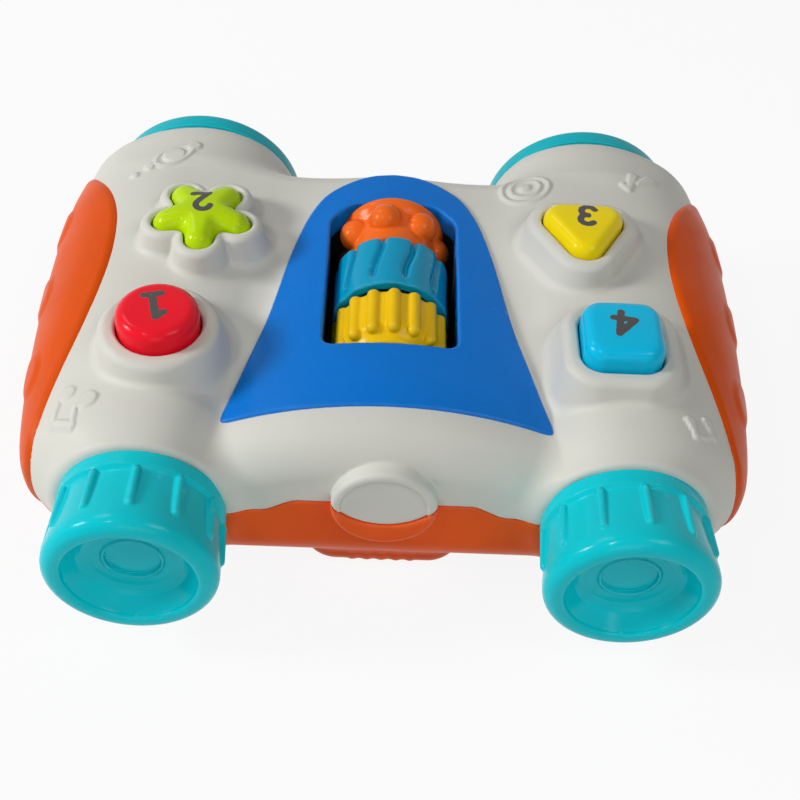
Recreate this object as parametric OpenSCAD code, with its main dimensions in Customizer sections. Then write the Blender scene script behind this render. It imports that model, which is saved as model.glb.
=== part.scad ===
// Toy binoculars with push buttons, thumb rollers and turning front cups.
// Frame: X across, +Y from the front cups towards the eyepieces, +Z up, standing on Z = 0.

/* [Casing] */
// Width over the side grips
body_w = 178; // [170:1:214]
// Length of the casing from its front wall to the tube ends
body_len = 112; // [106:1:135]
// Height of the tube axes above the standing surface
axis_h = 27; // [27:0.5:33]
// Rise of the arched middle above the tube axes
crown_h = 25.5; // [25:0.5:31]
// Rise of the side pods above the tube axes at the eyepiece end
pod_h = 26.5; // [26:0.5:28]
// Rise of the side pods above the tube axes at the cup end
front_h = 23; // [22:0.5:24]
// Drop of the belly below the tube axes
belly_h = 20; // [19:0.5:22]
// Gap between the two pods at the eyepiece end
tube_gap = 52; // [46:1:56]
// Wall of the moulded shells
wall = 2.2; // [1.8:0.1:2.7]

/* [Front cups] */
// Distance between the cup axes
cup_spacing = 110; // [100:1:120]
// Radius of a cup over its rear flange
cup_r = 19.2; // [16:0.2:23.1]
// Length of a cup in front of the casing
cup_len = 21.5; // [18:0.5:26]
// Number of grip ribs on a cup
cup_ribs = 12; // [6:1:16]
// Depth of the recess in a cup's face
cup_recess = 7; // [5:0.5:9]
// Radius of the hub that turns in the front wall
hub_r = 8; // [6.5:0.1:9.6]

/* [Eyepieces] */
// Distance between the eyepiece axes
eye_spacing = 106; // [98:1:112]
// Outer radius of an eyepiece ring
eye_r = 27; // [24:0.5:27]
// Length of an eyepiece ring behind the casing
eye_len = 5.3; // [4.5:0.1:7]
// Radius of the lens disc
lens_r = 19; // [16:0.2:19.5]

/* [Rollers] */
// Radius over a roller's ribs, lobes or balls
roller_r = 14.1; // [12:0.1:17]
// Width of one roller
roller_w = 15.1; // [12.6:0.1:16.5]
// Gap between two rollers
roller_gap = 2.4; // [1.8:0.1:2.9]
// Radius of the roller axle
axle_r = 1.5; // [1.2:0.1:1.8]

/* [Buttons] */
// Width across a button cap
button_w = 21; // [17.5:0.5:25.2]
// Travel of a button
button_travel = 2.5; // [1.5:0.1:3]
// Stand of a front button above its collar
button_rise = 5.4; // [4.6:0.1:6.5]
// Thickness of the collar round a button
collar_t = 5.5; // [4:0.1:6.6]

/* [Battery box] */
// Diameter of a cell
cell_d = 14.3; // [10.5:0.1:14.5]
// Length of a cell with its nub
cell_len = 50.5; // [44.5:0.5:50.5]

/* [Speaker] */
// Radius of the speaker frame
speaker_r = 18; // [14:0.5:20]

/* [Hidden] */
$fn = 96;

// Clearances
run_gap = 0.05;
slide_gap = 0.3;
seat_gap = 0.1;
play = 0.3;
overrun = 1;

// Colours
white_c = [0.86, 0.86, 0.83];
orange_c = [0.94, 0.41, 0.05];
teal_c = [0.02, 0.74, 0.8];
blue_c = [0.02, 0.42, 0.84];
dark_c = [0.1, 0.1, 0.11];
steel_c = [0.72, 0.73, 0.75];

// Places along the length and across the width
overall_len = cup_len + body_len + eye_len;
front_y = cup_len - overall_len / 2;
back_y = front_y + body_len;
mid_y = (front_y + back_y) / 2;
half_w = body_w / 2;
cup_x = cup_spacing / 2;
cup_rise = 2.1;
cup_z = axis_h + cup_rise;
eye_x = eye_spacing / 2;
crown_z = axis_h + crown_h;
belly_z = axis_h - belly_h;
pod_x = (half_w + tube_gap / 2) / 2;
pod_hw = (half_w - tube_gap / 2) / 2;

// Casing form: powers of its rounded outlines, roundings and the arched bridge
loop_steps = 56;
corner_steps = 6;
pod_power = 2.3;
plan_power = 6;
plan_spare = 3;
front_round = 10;
back_round = 6;
bridge_round = 12;
arch_r = 90;
bridge_back_share = 0.875;
bridge_back = body_len * bridge_back_share;
stub_len = 14;
cup_lip = 1;
eye_lip = 1.5;

// Split between the shells, which climbs towards the front boss
split_low = -1.5;
split_high = 5.3;
split_near = 18;
split_far = 33;
split_steps = 8;

// Round front boss, white above a hanging arc and orange below it
boss_r = 12.2;
boss_rise = 6.7;
boss_stand = 3.3;
boss_arc_r = 14.3;
boss_arc_drop = 5.9;

// Side grips
grip_depth = 4;
grip_proud = 1;
grip_rim = 2;
grip_up = 22;
grip_down = 15;
grip_power = 2.4;
grip_front = 3;
grip_back = 6;
grip_taper_share = 0.22;
peg_r = 2;
peg_drop = 7;
peg_shares = [0.3, 0.72];

// Face plate
plate_t = 2;
plate_front = 11;
plate_back = 93;
plate_front_hw = 38.2;
plate_back_hw = 13;
plate_waist_share = 0.45;
plate_waist_hw = 26.5;
plate_power = 3;
plate_steps = 10;

// Roller bay
bay_share = 0.5013;
bay_mid = front_y + body_len * bay_share;
bay_side = 1.9;
roller_end = 0.8;
bay_hw = roller_r + bay_side;
bay_len = 3 * roller_w + 2 * roller_gap + 2 * roller_end;
bay_wall = 1.8;
axle_drop = 9.9;
axle_z = crown_z - axle_drop;
saddle_z = crown_z - plate_t - play;
frame_w = 7;
frame_t = 2.8;
rim_t = 2;
rim_w = 6;
rim_reach = bay_hw + bay_wall + rim_w;
arch_fall = arch_r - sqrt(arch_r * arch_r - rim_reach * rim_reach);
frame_drop = arch_fall + plate_t + frame_t;
frame_z = crown_z - frame_drop;
bay_floor_z = axle_z - roller_r - bay_side;
core_drop = 1.3;
rib_r = 1.2;
rib_count = 16;
lobe_count = 11;
lobe_r = 5.4;
lobe_tilt = -7.4;
ball_count = 7;
ball_r = 4.2;
roller_shares = [-1, 0, 1];

// Fasteners: shank radius, head radius, head height, cross recess
screw_r = 1.4;
head_r = 2.7;
head_h = 1.8;
recess_w = 0.7;
recess_l = 3;
recess_d = 0.9;
boss_wall_r = 3.5;

// Buttons: places as shares of the half width and length, widths ordered red, star, triangle, square
front_button_shares = [0.598, 0.275];
rear_button_shares = [0.533, 0.616];
button_shares = [0.912, 1.086, 0.948, 0.888];
rear_rise_share = 0.6;
rear_lift = 1.4;
collar_rise = 29.3;
collar_z = axis_h + collar_rise;
shoulder_drop = 4;
collar_depth = 10.6;
flower_share = 0.7;
flange_w = 1.4;
flange_t = 1.6;
stem_r = 3;
corner_share = 0.26;
star_tip_share = 0.41;
star_tip_r_share = 0.12;
star_core_share = 0.3;
tri_reach_share = 0.31;
tri_r_share = 0.231;
crown_r = 2;

// Circuit board, domes, chip
board_rise = 6.4;
board_t = 1.6;
board_z = axis_h + board_rise;
board_top = board_z + board_t;
board_edge = 9;
board_gap = 1.5;
dome_r = 4.5;
dome_top_r = 2.4;
dome_share = 2.4;
dome_h = button_travel * dome_share;
dome_wall = 0.8;
chip_r = 6;
chip_h = 2;
post_spread = 5;
post_inset = 10;
post_r = 3.2;

// Battery box under the belly
cell_r = cell_d / 2;
cell_gap = 0.2;
cell_pitch = cell_d + cell_gap;
contact_room = 3.2;
contact_t = 0.5;
contact_w = 9;
box_wall = 1.6;
box_hw = cell_pitch + play;
box_len = cell_len + 2 * contact_room;
box_front = 18;
box_y = front_y + box_front;
door_t = 3.2;
door_seat = head_h + seat_gap;
door_lip = 2;
door_tail = 9;
cell_z = door_t + play + cell_r;
box_top = cell_z + cell_r + play + box_wall;
bulge_hw = box_hw + door_lip + 2 * box_wall;
bulge_front = 5;
bulge_round = 6;
bulge_end = box_y + box_len + door_tail + door_lip + 2 * box_wall;

// Speaker on the left, switch on the right, at shares of the half width and length
side_share = 0.52;
side_len_share = 0.55;
side_x = half_w * side_share;
side_y = front_y + body_len * side_len_share;
floor_z = belly_z + wall;
seat_h = 1.6;
speaker_rim_h = 1.4;
speaker_boss_r = 2.2;
speaker_h = 8;
magnet_r = 9;
magnet_h = 5;
cone_r = 14;
cone_t = 0.5;
grille_r = 1.3;
grille_pitch = 4.6;
grille_rings = 2;
slot_l = 10;
slot_w = 4.4;
slider_travel = 4;
slider_pad = 3;
slider_t = 1.6;
nub_stand = 1.4;
lever_w = 2;
lever_h = 4;
can_l = slot_l + 2 * slider_pad + slider_travel + 2 * play;
can_w = 7;
can_h = 5;
can_post = 2.5;

// Shell screws as shares of the half width and the length
shell_screw_shares = [[0.38, 0.1], [0.4, 0.8], [0.83, 0.52]];
screw_reach = 9;
counterbore = 3;

// Cup and eyepiece sections
bearing_len = 6;
retainer_r = 11;
retainer_t = 2;
cup_wall = 2;
cup_band = 4;
cup_step = 1.2;
cup_rim_r = 3.1;
cup_rim_proud = 0.5;
cup_floor_taper = 2.3;
cup_dimple_r = 6.9;
cup_dimple_d = 0.7;
cup_rib_hw = 1.1;
cup_rib_drop = 0.2;
eye_wall = 3.6;
eye_seat = 2;
eye_sleeve = 1.8;
eye_bead = 0.9;
lens_t = 1.8;

// Signed power, used by the rounded outlines
function spow(v, p) = sign(v) * pow(abs(v), p);

// Rounded closed outline with its own rise and drop about the centre
function loop(w, up, down, power) = [for (i = [0 : loop_steps - 1])
    let (a = 360 * i / loop_steps, s = sin(a))
    [w * spow(cos(a), 2 / power), (s > 0 ? up : down) * spow(s, 2 / power)]];

// Quarter arc from the angle a0
function corner(cx, cy, r, a0) = [for (i = [0 : corner_steps])
    let (a = a0 + 90 * i / corner_steps)
    [cx + r * cos(a), cy + r * sin(a)]];

// Outline with two front and two back corner arcs, seen from the side
function side_outline(y0, y1, z0, front_z, back_z, rf, rb) = concat(
    corner(y1 - rb, z0 + rb, rb, -90),
    corner(y1 - rb, back_z - rb, rb, 0),
    corner(y0 + rf, front_z - rf, rf, 90),
    corner(y0 + rf, z0 + rf, rf, 180));

// Smooth step from 0 to 1
function ease(t) = let (c = min(max(t, 0), 1)) c * c * (3 - 2 * c);

// Height of the split between the shells at a distance from the middle
function split_at(x) = axis_h + split_low
    + (split_high - split_low) * (1 - ease((abs(x) - split_near) / (split_far - split_near)));

// Extrusions along Y and X, and a turned body along Y
module along_y(y0, y1) translate([0, y1, 0]) rotate([90, 0, 0]) linear_extrude(y1 - y0) children();
module along_x(x0, x1) translate([x0, 0, 0]) rotate([90, 0, 90]) linear_extrude(x1 - x0) children();
module turned_y(x, z) translate([x, 0, z]) rotate([-90, 0, 0]) rotate_extrude() children();
module rod_y(r, y0, y1, x, z) translate([x, y0, z]) rotate([-90, 0, 0]) cylinder(r = r, h = y1 - y0);
module rod_z(r, z0, z1, x, y) translate([x, y, z0]) cylinder(r = r, h = z1 - z0);
module block(x0, x1, y0, y1, z0, z1) translate([x0, y0, z0]) cube([x1 - x0, y1 - y0, z1 - z0]);
module both_sides() {
    children();
    mirror([1, 0, 0]) children();
}

// Two side pods, inset from the outside by the given amounts
module pods(side, top, bottom, ends) intersection() {
    along_y(front_y + ends, back_y - ends)
        for (s = [-1, 1]) translate([s * pod_x, axis_h])
            polygon(loop(pod_hw - side, pod_h - top, belly_h - bottom, pod_power));
    linear_extrude(crown_z + pod_h) intersection() {
        translate([0, mid_y]) polygon(loop(half_w - side, body_len / 2 + plan_spare - ends,
            body_len / 2 + plan_spare - ends, plan_power));
        translate([-half_w, front_y + ends]) square([body_w, body_len - 2 * ends]);
    }
    along_x(-half_w, half_w)
        polygon(side_outline(front_y + ends, back_y - ends, belly_z + bottom, axis_h + front_h - top,
            axis_h + pod_h - top, front_round, back_round));
}

// Arched bridge between the pods
module bridge(top, bottom, ends) intersection() {
    along_y(front_y + ends, front_y + bridge_back - ends) intersection() {
        translate([0, crown_z - arch_r]) circle(r = arch_r - top);
        translate([-pod_x, belly_z + bottom]) square([2 * pod_x, crown_h + belly_h]);
    }
    along_x(-pod_x, pod_x)
        polygon(side_outline(front_y + ends, front_y + bridge_back - ends, belly_z + bottom,
            crown_z - top, crown_z - top, bridge_round - ends, back_round - ends));
}

// Short round tubes behind the cups and in front of the eyepieces
module stubs(t) both_sides() {
    rod_y(cup_r + cup_lip - t, front_y + t, front_y + stub_len, cup_x, cup_z);
    rod_y(eye_r - eye_lip - t, back_y - stub_len, back_y - t, eye_x, axis_h);
}

module casing_outer() {
    pods(grip_proud, 0, 0, 0);
    bridge(0, 0, 0);
    stubs(0);
}

module casing_inner() {
    pods(grip_depth + wall, wall, wall, wall);
    bridge(plate_t + wall, wall, wall);
    stubs(wall);
}

// Everything above the split
module above_split(lift) along_y(front_y - cup_len, back_y + eye_len)
    polygon(concat([[half_w + overrun, 2 * crown_z], [-half_w - overrun, 2 * crown_z]],
        [[-half_w - overrun, split_at(half_w) + lift]],
        [for (i = [-split_steps : split_steps]) let (x = split_far * i / split_steps)
            [x, split_at(x) + lift]],
        [[half_w + overrun, split_at(half_w) + lift]]));

// Side view of a grip: a tongue that is taller towards the eyepieces
module grip_tongue(grow) translate([(front_y + grip_front + back_y - grip_back) / 2, axis_h])
    polygon([for (p = loop((body_len - grip_front - grip_back) / 2 + grow, grip_up + grow, grip_down + grow,
        grip_power)) [p[0], p[1] * (1 + grip_taper_share * (p[0] / body_len * 2 - 1))]]);

// The space outside the shells that a grip fills
module grip_zone(grow) difference() {
    both_sides() along_x(pod_x, half_w + overrun) grip_tongue(grow);
    pods(grip_depth, grip_rim, grip_rim, 0);
}

module grip_peg_places() for (share = peg_shares)
    translate([0, front_y + body_len * share, axis_h - peg_drop]) children();

module grip() {
    intersection() {
        along_x(pod_x, half_w + overrun) grip_tongue(-seat_gap);
        difference() {
            pods(0, 0, 0, 0);
            pods(grip_depth - seat_gap, grip_rim - seat_gap, grip_rim - seat_gap, 0);
        }
    }
    grip_peg_places() along_x(half_w - grip_depth - 2 * wall, half_w - grip_depth / 2) circle(r = peg_r);
}

module left_grip() color(orange_c) mirror([1, 0, 0]) grip();
module right_grip() color(orange_c) grip();

// Bell outline of the face plate, from a wide front to a rounded back
function plate_hw(t) = t < plate_waist_share
    ? plate_front_hw + (plate_waist_hw - plate_front_hw) * sin(90 * t / plate_waist_share)
    : plate_waist_hw - (plate_waist_hw - plate_back_hw)
        * pow((t - plate_waist_share) / (1 - plate_waist_share), plate_power);
function plate_side(grow) = [for (i = [0 : plate_steps])
    let (t = i / plate_steps)
    [plate_hw(t) + grow, front_y + plate_front - grow + (plate_back - plate_front + 2 * grow) * t]];
module plate_outline(grow) {
    pts = plate_side(grow);
    polygon(concat(pts, [for (i = [plate_steps : -1 : 0]) [-pts[i][0], pts[i][1]]]));
}

module bay_outline(grow) translate([-bay_hw - grow, bay_mid - bay_len / 2 - grow])
    square([2 * (bay_hw + grow), bay_len + 2 * grow]);

module face_plate() color(blue_c) difference() {
    intersection() {
        bridge(0, 0, 0);
        linear_extrude(2 * crown_z) plate_outline(-seat_gap);
    }
    bridge(plate_t, -overrun, -overrun);
    linear_extrude(2 * crown_z) bay_outline(0);
}

// Outline parts for the button caps
module tapered_arm(r0, r1, reach) {
    lean = asin((r0 - r1) / reach);
    circle(r = r0);
    translate([reach, 0]) circle(r = r1);
    polygon([[r0 * sin(lean), r0 * cos(lean)], [reach + r1 * sin(lean), r1 * cos(lean)],
        [reach + r1 * sin(lean), -r1 * cos(lean)], [r0 * sin(lean), -r0 * cos(lean)]]);
}
module round_outline(w, grow) circle(r = w / 2 + grow);
module square_outline(w, grow) {
    r = w * corner_share;
    flat = w / 2 - r;
    for (x = [-flat, flat], y = [-flat, flat]) translate([x, y]) circle(r = r + grow);
    square([2 * (flat + r + grow), 2 * flat], center = true);
    square([2 * flat, 2 * (flat + r + grow)], center = true);
}
module star_outline(w, grow) {
    core = w * star_core_share + grow;
    tip = w * star_tip_r_share + grow;
    reach = w * star_tip_share;
    lean = asin((core - tip) / reach);
    valley = core / sin(36 + lean);
    polygon([for (i = [0 : 4], j = [0 : corner_steps + 1])
        let (turn = 72 * i - 90, a = turn + (90 - lean) * (2 * j / corner_steps - 1))
        j > corner_steps ? valley * [cos(turn + 36), sin(turn + 36)]
            : [reach * cos(turn) + tip * cos(a), reach * sin(turn) + tip * sin(a)]]);
}
module flower_outline(w, grow) {
    circle(r = w * star_core_share + grow);
    for (i = [0 : 4]) rotate(72 * i - 90) translate([w * star_tip_share, 0])
        circle(r = w * star_tip_r_share + grow);
}
module triangle_outline(w, grow) {
    reach = w * tri_reach_share;
    r = w * tri_r_share + grow;
    tips = [for (i = [0 : 2]) reach * [cos(120 * i - 90), sin(120 * i - 90)]];
    polygon(tips);
    for (i = [0 : 2]) translate(tips[i]) rotate(120 * i + 60) tapered_arm(r, r, reach * sqrt(3));
}

// Kinds of button: 0 red round, 1 green star, 2 yellow triangle, 3 blue square
function at_front(kind) = kind == 0 || kind == 3;
function button_at(kind) = let (s = kind < 2 ? -1 : 1,
    share = at_front(kind) ? front_button_shares : rear_button_shares)
    [s * half_w * share[0], front_y + body_len * share[1]];
function collar_top(kind) = collar_z + (at_front(kind) ? 0 : rear_lift);
function cap_top(kind) = collar_top(kind) + button_rise * (at_front(kind) ? 1 : rear_rise_share);
function flange_at(kind) = collar_top(kind) - shoulder_drop - play - flange_t;
function stem_len(kind) = flange_at(kind) - board_top - dome_h - play;
module button_outline(kind, grow) {
    w = button_w * button_shares[kind];
    if (kind == 0) round_outline(w, grow);
    if (kind == 1) star_outline(w, grow);
    if (kind == 2) triangle_outline(w, grow);
    if (kind == 3) square_outline(w, grow);
}
module collar_outline(kind) {
    if (kind == 1) flower_outline(button_w * button_shares[kind], collar_t * flower_share);
    else button_outline(kind, collar_t);
}
module at_button(kind, z) translate([button_at(kind)[0], button_at(kind)[1], z]) children();

module collars() for (kind = [0 : 3]) at_button(kind, collar_top(kind) - collar_depth)
    linear_extrude(collar_depth) collar_outline(kind);

module button_holes() for (kind = [0 : 3]) {
    at_button(kind, board_z) linear_extrude(crown_z) button_outline(kind, slide_gap);
    at_button(kind, board_z) linear_extrude(collar_top(kind) - shoulder_drop - board_z)
        button_outline(kind, flange_w + slide_gap);
}

module button(kind) {
    z = flange_at(kind);
    at_button(kind, z) linear_extrude(flange_t) button_outline(kind, flange_w);
    at_button(kind, z) linear_extrude(cap_top(kind) - crown_r / 2 - z) button_outline(kind, 0);
    at_button(kind, z) linear_extrude(cap_top(kind) - z) button_outline(kind, -crown_r / 2);
    at_button(kind, z - stem_len(kind)) cylinder(r = stem_r, h = stem_len(kind) + flange_t);
}
module red_button() color([0.86, 0.06, 0.14]) button(0);
module star_button() color([0.66, 0.8, 0.02]) button(1);
module triangle_button() color([0.98, 0.84, 0.02]) button(2);
module square_button() color([0.02, 0.72, 0.92]) button(3);

module dome(kind) color([0.8, 0.8, 0.78]) at_button(kind, board_top) rotate_extrude()
    polygon([[dome_r - dome_wall, 0], [dome_r, 0], [dome_top_r, dome_h], [0, dome_h],
        [0, dome_h - dome_wall], [dome_top_r - dome_wall, dome_h - dome_wall]]);
module red_dome() dome(0);
module star_dome() dome(1);
module triangle_dome() dome(2);
module square_dome() dome(3);

// Round front boss
module boss_circle() translate([0, axis_h + boss_rise]) circle(r = boss_r);
module boss_arc(grow) translate([0, axis_h + boss_rise - boss_arc_drop + boss_arc_r])
    circle(r = boss_arc_r + grow);
module upper_boss() {
    along_y(front_y - boss_stand, front_y) intersection() {
        boss_circle();
        boss_arc(0);
    }
    intersection() {
        along_y(front_y - overrun, front_y + wall) boss_circle();
        above_split(0);
    }
}
module lower_boss() {
    difference() {
        along_y(front_y - boss_stand, front_y + wall) difference() {
            boss_circle();
            boss_arc(seat_gap);
        }
        above_split(-seat_gap);
    }
}

// Screw pointing up, its head's underside at the given height
module screw_up(x, y, z, len) difference() {
    union() {
        rod_z(screw_r, z - overrun / 2, z + len, x, y);
        rod_z(head_r, z - head_h, z, x, y);
    }
    for (a = [0, 90]) translate([x, y, z - head_h]) rotate(a)
        cube([recess_l, recess_w, 2 * recess_d], center = true);
}

// Places of the shell screws
function shell_screw_at(i) = [half_w * shell_screw_shares[i][0],
    front_y + body_len * shell_screw_shares[i][1]];
function belly_at(x) = let (t = max(0, x - pod_x) / pod_hw)
    axis_h - belly_h * pow(1 - pow(t, pod_power), 1 / pod_power);
function head_seat(p) = belly_at(p[0]) + counterbore;
module shell_screws() color(steel_c) for (i = [0 : len(shell_screw_shares) - 1], s = [-1, 1])
    let (p = shell_screw_at(i))
    screw_up(s * p[0], p[1], head_seat(p), split_at(p[0]) + screw_reach - head_seat(p));

// Bearing rings for the cups and end walls for the eyepieces
module bearing_rings() both_sides()
    rod_y(hub_r + 2 * wall, front_y + wall / 2, front_y + bearing_len, cup_x, cup_z);
module cup_and_eye_holes() both_sides() {
    rod_y(hub_r + run_gap, front_y - overrun, front_y + bearing_len + overrun, cup_x, cup_z);
    rod_y(lens_r + eye_sleeve + seat_gap, back_y - 2 * wall, back_y + overrun, eye_x, axis_h);
}

// Posts that carry the circuit board, at the corners of the roller bay
function post_at(sx, sy) = [sx * (bay_hw + rim_w + bay_wall + post_spread),
    bay_mid + sy * (bay_len / 2 - post_inset)];
module post_places() for (sx = [-1, 1], sy = [-1, 1]) let (p = post_at(sx, sy))
    translate([p[0], p[1], 0]) children();

module upper_shell() color(white_c) difference() {
    union() {
        intersection() {
            union() {
                difference() {
                    casing_outer();
                    casing_inner();
                }
                intersection() {
                    casing_outer();
                    union() {
                        translate([0, 0, frame_z]) linear_extrude(frame_drop)
                            bay_outline(frame_w + bay_wall);
                        post_places() translate([0, 0, board_top])
                            cylinder(r = post_r, h = crown_z - board_top);
                        for (i = [0 : len(shell_screw_shares) - 1]) let (p = shell_screw_at(i)) both_sides()
                            rod_z(boss_wall_r, belly_z, crown_z, p[0], p[1]);
                        bearing_rings();
                    }
                }
            }
            above_split(0);
        }
        collars();
        upper_boss();
    }
    grip_zone(0);
    difference() {
        linear_extrude(2 * crown_z) plate_outline(0);
        bridge(plate_t + seat_gap, -overrun, -overrun);
        translate([-half_w, front_y, 0]) cube([body_w, body_len, axis_h]);
    }
    translate([0, 0, axis_h]) linear_extrude(crown_z) bay_outline(bay_wall + slide_gap);
    button_holes();
    cup_and_eye_holes();
    post_places() translate([0, 0, board_top - overrun])
        cylinder(r = screw_r + run_gap, h = screw_reach + overrun);
    for (i = [0 : len(shell_screw_shares) - 1]) let (p = shell_screw_at(i)) both_sides()
        rod_z(screw_r + run_gap, belly_z, split_at(p[0]) + screw_reach + overrun, p[0], p[1]);
    cradle_screw_places() cylinder(r = screw_r + run_gap, h = frame_t);
}

// Roller cradle: a bin that hangs from the frame under the slot
module cradle_screw_places() for (sx = [-1, 1], sy = [-1, 1])
    translate([sx * (bay_hw + bay_wall + rim_w / 2), bay_mid + sy * (bay_len / 2 - rim_w), frame_z])
        children();
module roller_cradle() color(dark_c) difference() {
    union() {
        translate([0, 0, bay_floor_z - bay_wall]) linear_extrude(frame_z - bay_floor_z + bay_wall)
            bay_outline(bay_wall);
        for (s = [-1, 1]) translate([0, bay_mid + s * (bay_len + bay_wall) / 2, 0])
            block(-rim_w, rim_w, -bay_wall / 2, bay_wall / 2, frame_z - overrun, saddle_z);
        translate([0, 0, frame_z - rim_t]) linear_extrude(rim_t) bay_outline(bay_wall + rim_w);
    }
    translate([0, 0, bay_floor_z]) linear_extrude(crown_z) bay_outline(0);
    along_y(bay_mid - bay_len, bay_mid + bay_len) union() {
        translate([0, axle_z]) circle(r = axle_r + run_gap);
        translate([-axle_r - run_gap, axle_z]) square([2 * (axle_r + run_gap), crown_z]);
    }
    cradle_screw_places() translate([0, 0, -rim_t - overrun])
        cylinder(r = screw_r + seat_gap, h = rim_t + 2 * overrun);
}
module cradle_screws() color(steel_c) cradle_screw_places()
    screw_up(0, 0, -rim_t, rim_t + frame_t - seat_gap);
module roller_axle() color(steel_c)
    rod_y(axle_r, bay_mid - bay_len / 2 - bay_wall, bay_mid + bay_len / 2 + bay_wall, 0, axle_z);

// A roller's plain core with its bore
module roller_core(r) difference() {
    rod_y(r, -roller_w / 2, roller_w / 2, 0, 0);
    rod_y(axle_r + run_gap, -roller_w, roller_w, 0, 0);
}
module at_roller(i) translate([0, bay_mid + roller_shares[i] * (roller_w + roller_gap), axle_z]) children();
module around_y(count) for (i = [0 : count - 1]) rotate([0, 360 * i / count, 0]) children();

module yellow_roller() color([0.97, 0.79, 0.03]) at_roller(0) {
    roller_core(roller_r - core_drop);
    around_y(rib_count) {
        rod_y(rib_r, -roller_w / 2 + 3 * rib_r, roller_w / 2 - rib_r / 2, 0, roller_r - rib_r);
        translate([0, -roller_w / 2 + 3 * rib_r, roller_r - rib_r]) sphere(r = rib_r);
    }
}
module blue_roller() color([0.0, 0.62, 0.82]) at_roller(1) {
    roller_core(roller_r - core_drop);
    intersection() {
        around_y(lobe_count) rotate([0, 0, lobe_tilt])
            rod_y(lobe_r, -roller_w, roller_w, 0, roller_r - lobe_r);
        difference() {
            rod_y(roller_r, -roller_w / 2, roller_w / 2, 0, 0);
            rod_y(roller_r - 2 * core_drop, -roller_w, roller_w, 0, 0);
        }
    }
}
module orange_roller() color([1, 0.47, 0.16]) at_roller(2) {
    roller_core(roller_r - 2 * core_drop);
    around_y(ball_count) translate([0, 0, roller_r - ball_r]) sphere(r = ball_r);
}

// Circuit board with a cut-out for the cradle, the chip and its screws
board_hw = half_w * front_button_shares[0] + board_edge;
board_y0 = button_at(0)[1] - board_edge;
board_y1 = button_at(1)[1] + board_edge;
module circuit_board() color([0.1, 0.42, 0.22]) difference() {
    block(-board_hw, board_hw, board_y0, board_y1, board_z, board_top);
    translate([0, 0, board_z - overrun]) linear_extrude(board_t + 2 * overrun)
        bay_outline(bay_wall + board_gap);
    post_places() translate([0, 0, board_z - overrun])
        cylinder(r = screw_r + seat_gap, h = board_t + 2 * overrun);
}
module board_screws() color(steel_c) post_places() screw_up(0, 0, board_z, screw_reach);
module sound_chip() color(dark_c)
    translate([-button_at(3)[0], (button_at(0)[1] + button_at(1)[1]) / 2, board_top])
    rotate_extrude() intersection() {
        translate([0, chip_h - chip_r * chip_r / chip_h]) circle(r = chip_r * chip_r / chip_h);
        square([chip_r, chip_h]);
    }

// Battery bulge and box
module bulge(inset, top) {
    hw = bulge_hw - inset;
    r = bulge_round - inset;
    y0 = front_y + bulge_front + inset;
    y1 = bulge_end - inset;
    intersection() {
        linear_extrude(top) {
            translate([-hw, y0 + r]) square([2 * hw, y1 - y0 - r]);
            translate([-hw + r, y0]) square([2 * (hw - r), 2 * r]);
            both_sides() translate([hw - r, y0 + r]) circle(r = r);
        }
        along_x(-half_w, half_w) polygon(side_outline(y0, y1, inset, axis_h, axis_h, r, r));
    }
}
module battery_box() block(-box_hw - box_wall, box_hw + box_wall, box_y - box_wall,
    box_y + box_len + box_wall, wall, box_top);
door_y0 = box_y - door_lip;
door_y1 = box_y + box_len + door_tail;
door_hw = box_hw + door_lip;
door_screw_y = box_y + box_len + (door_tail + box_wall) / 2;

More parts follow.
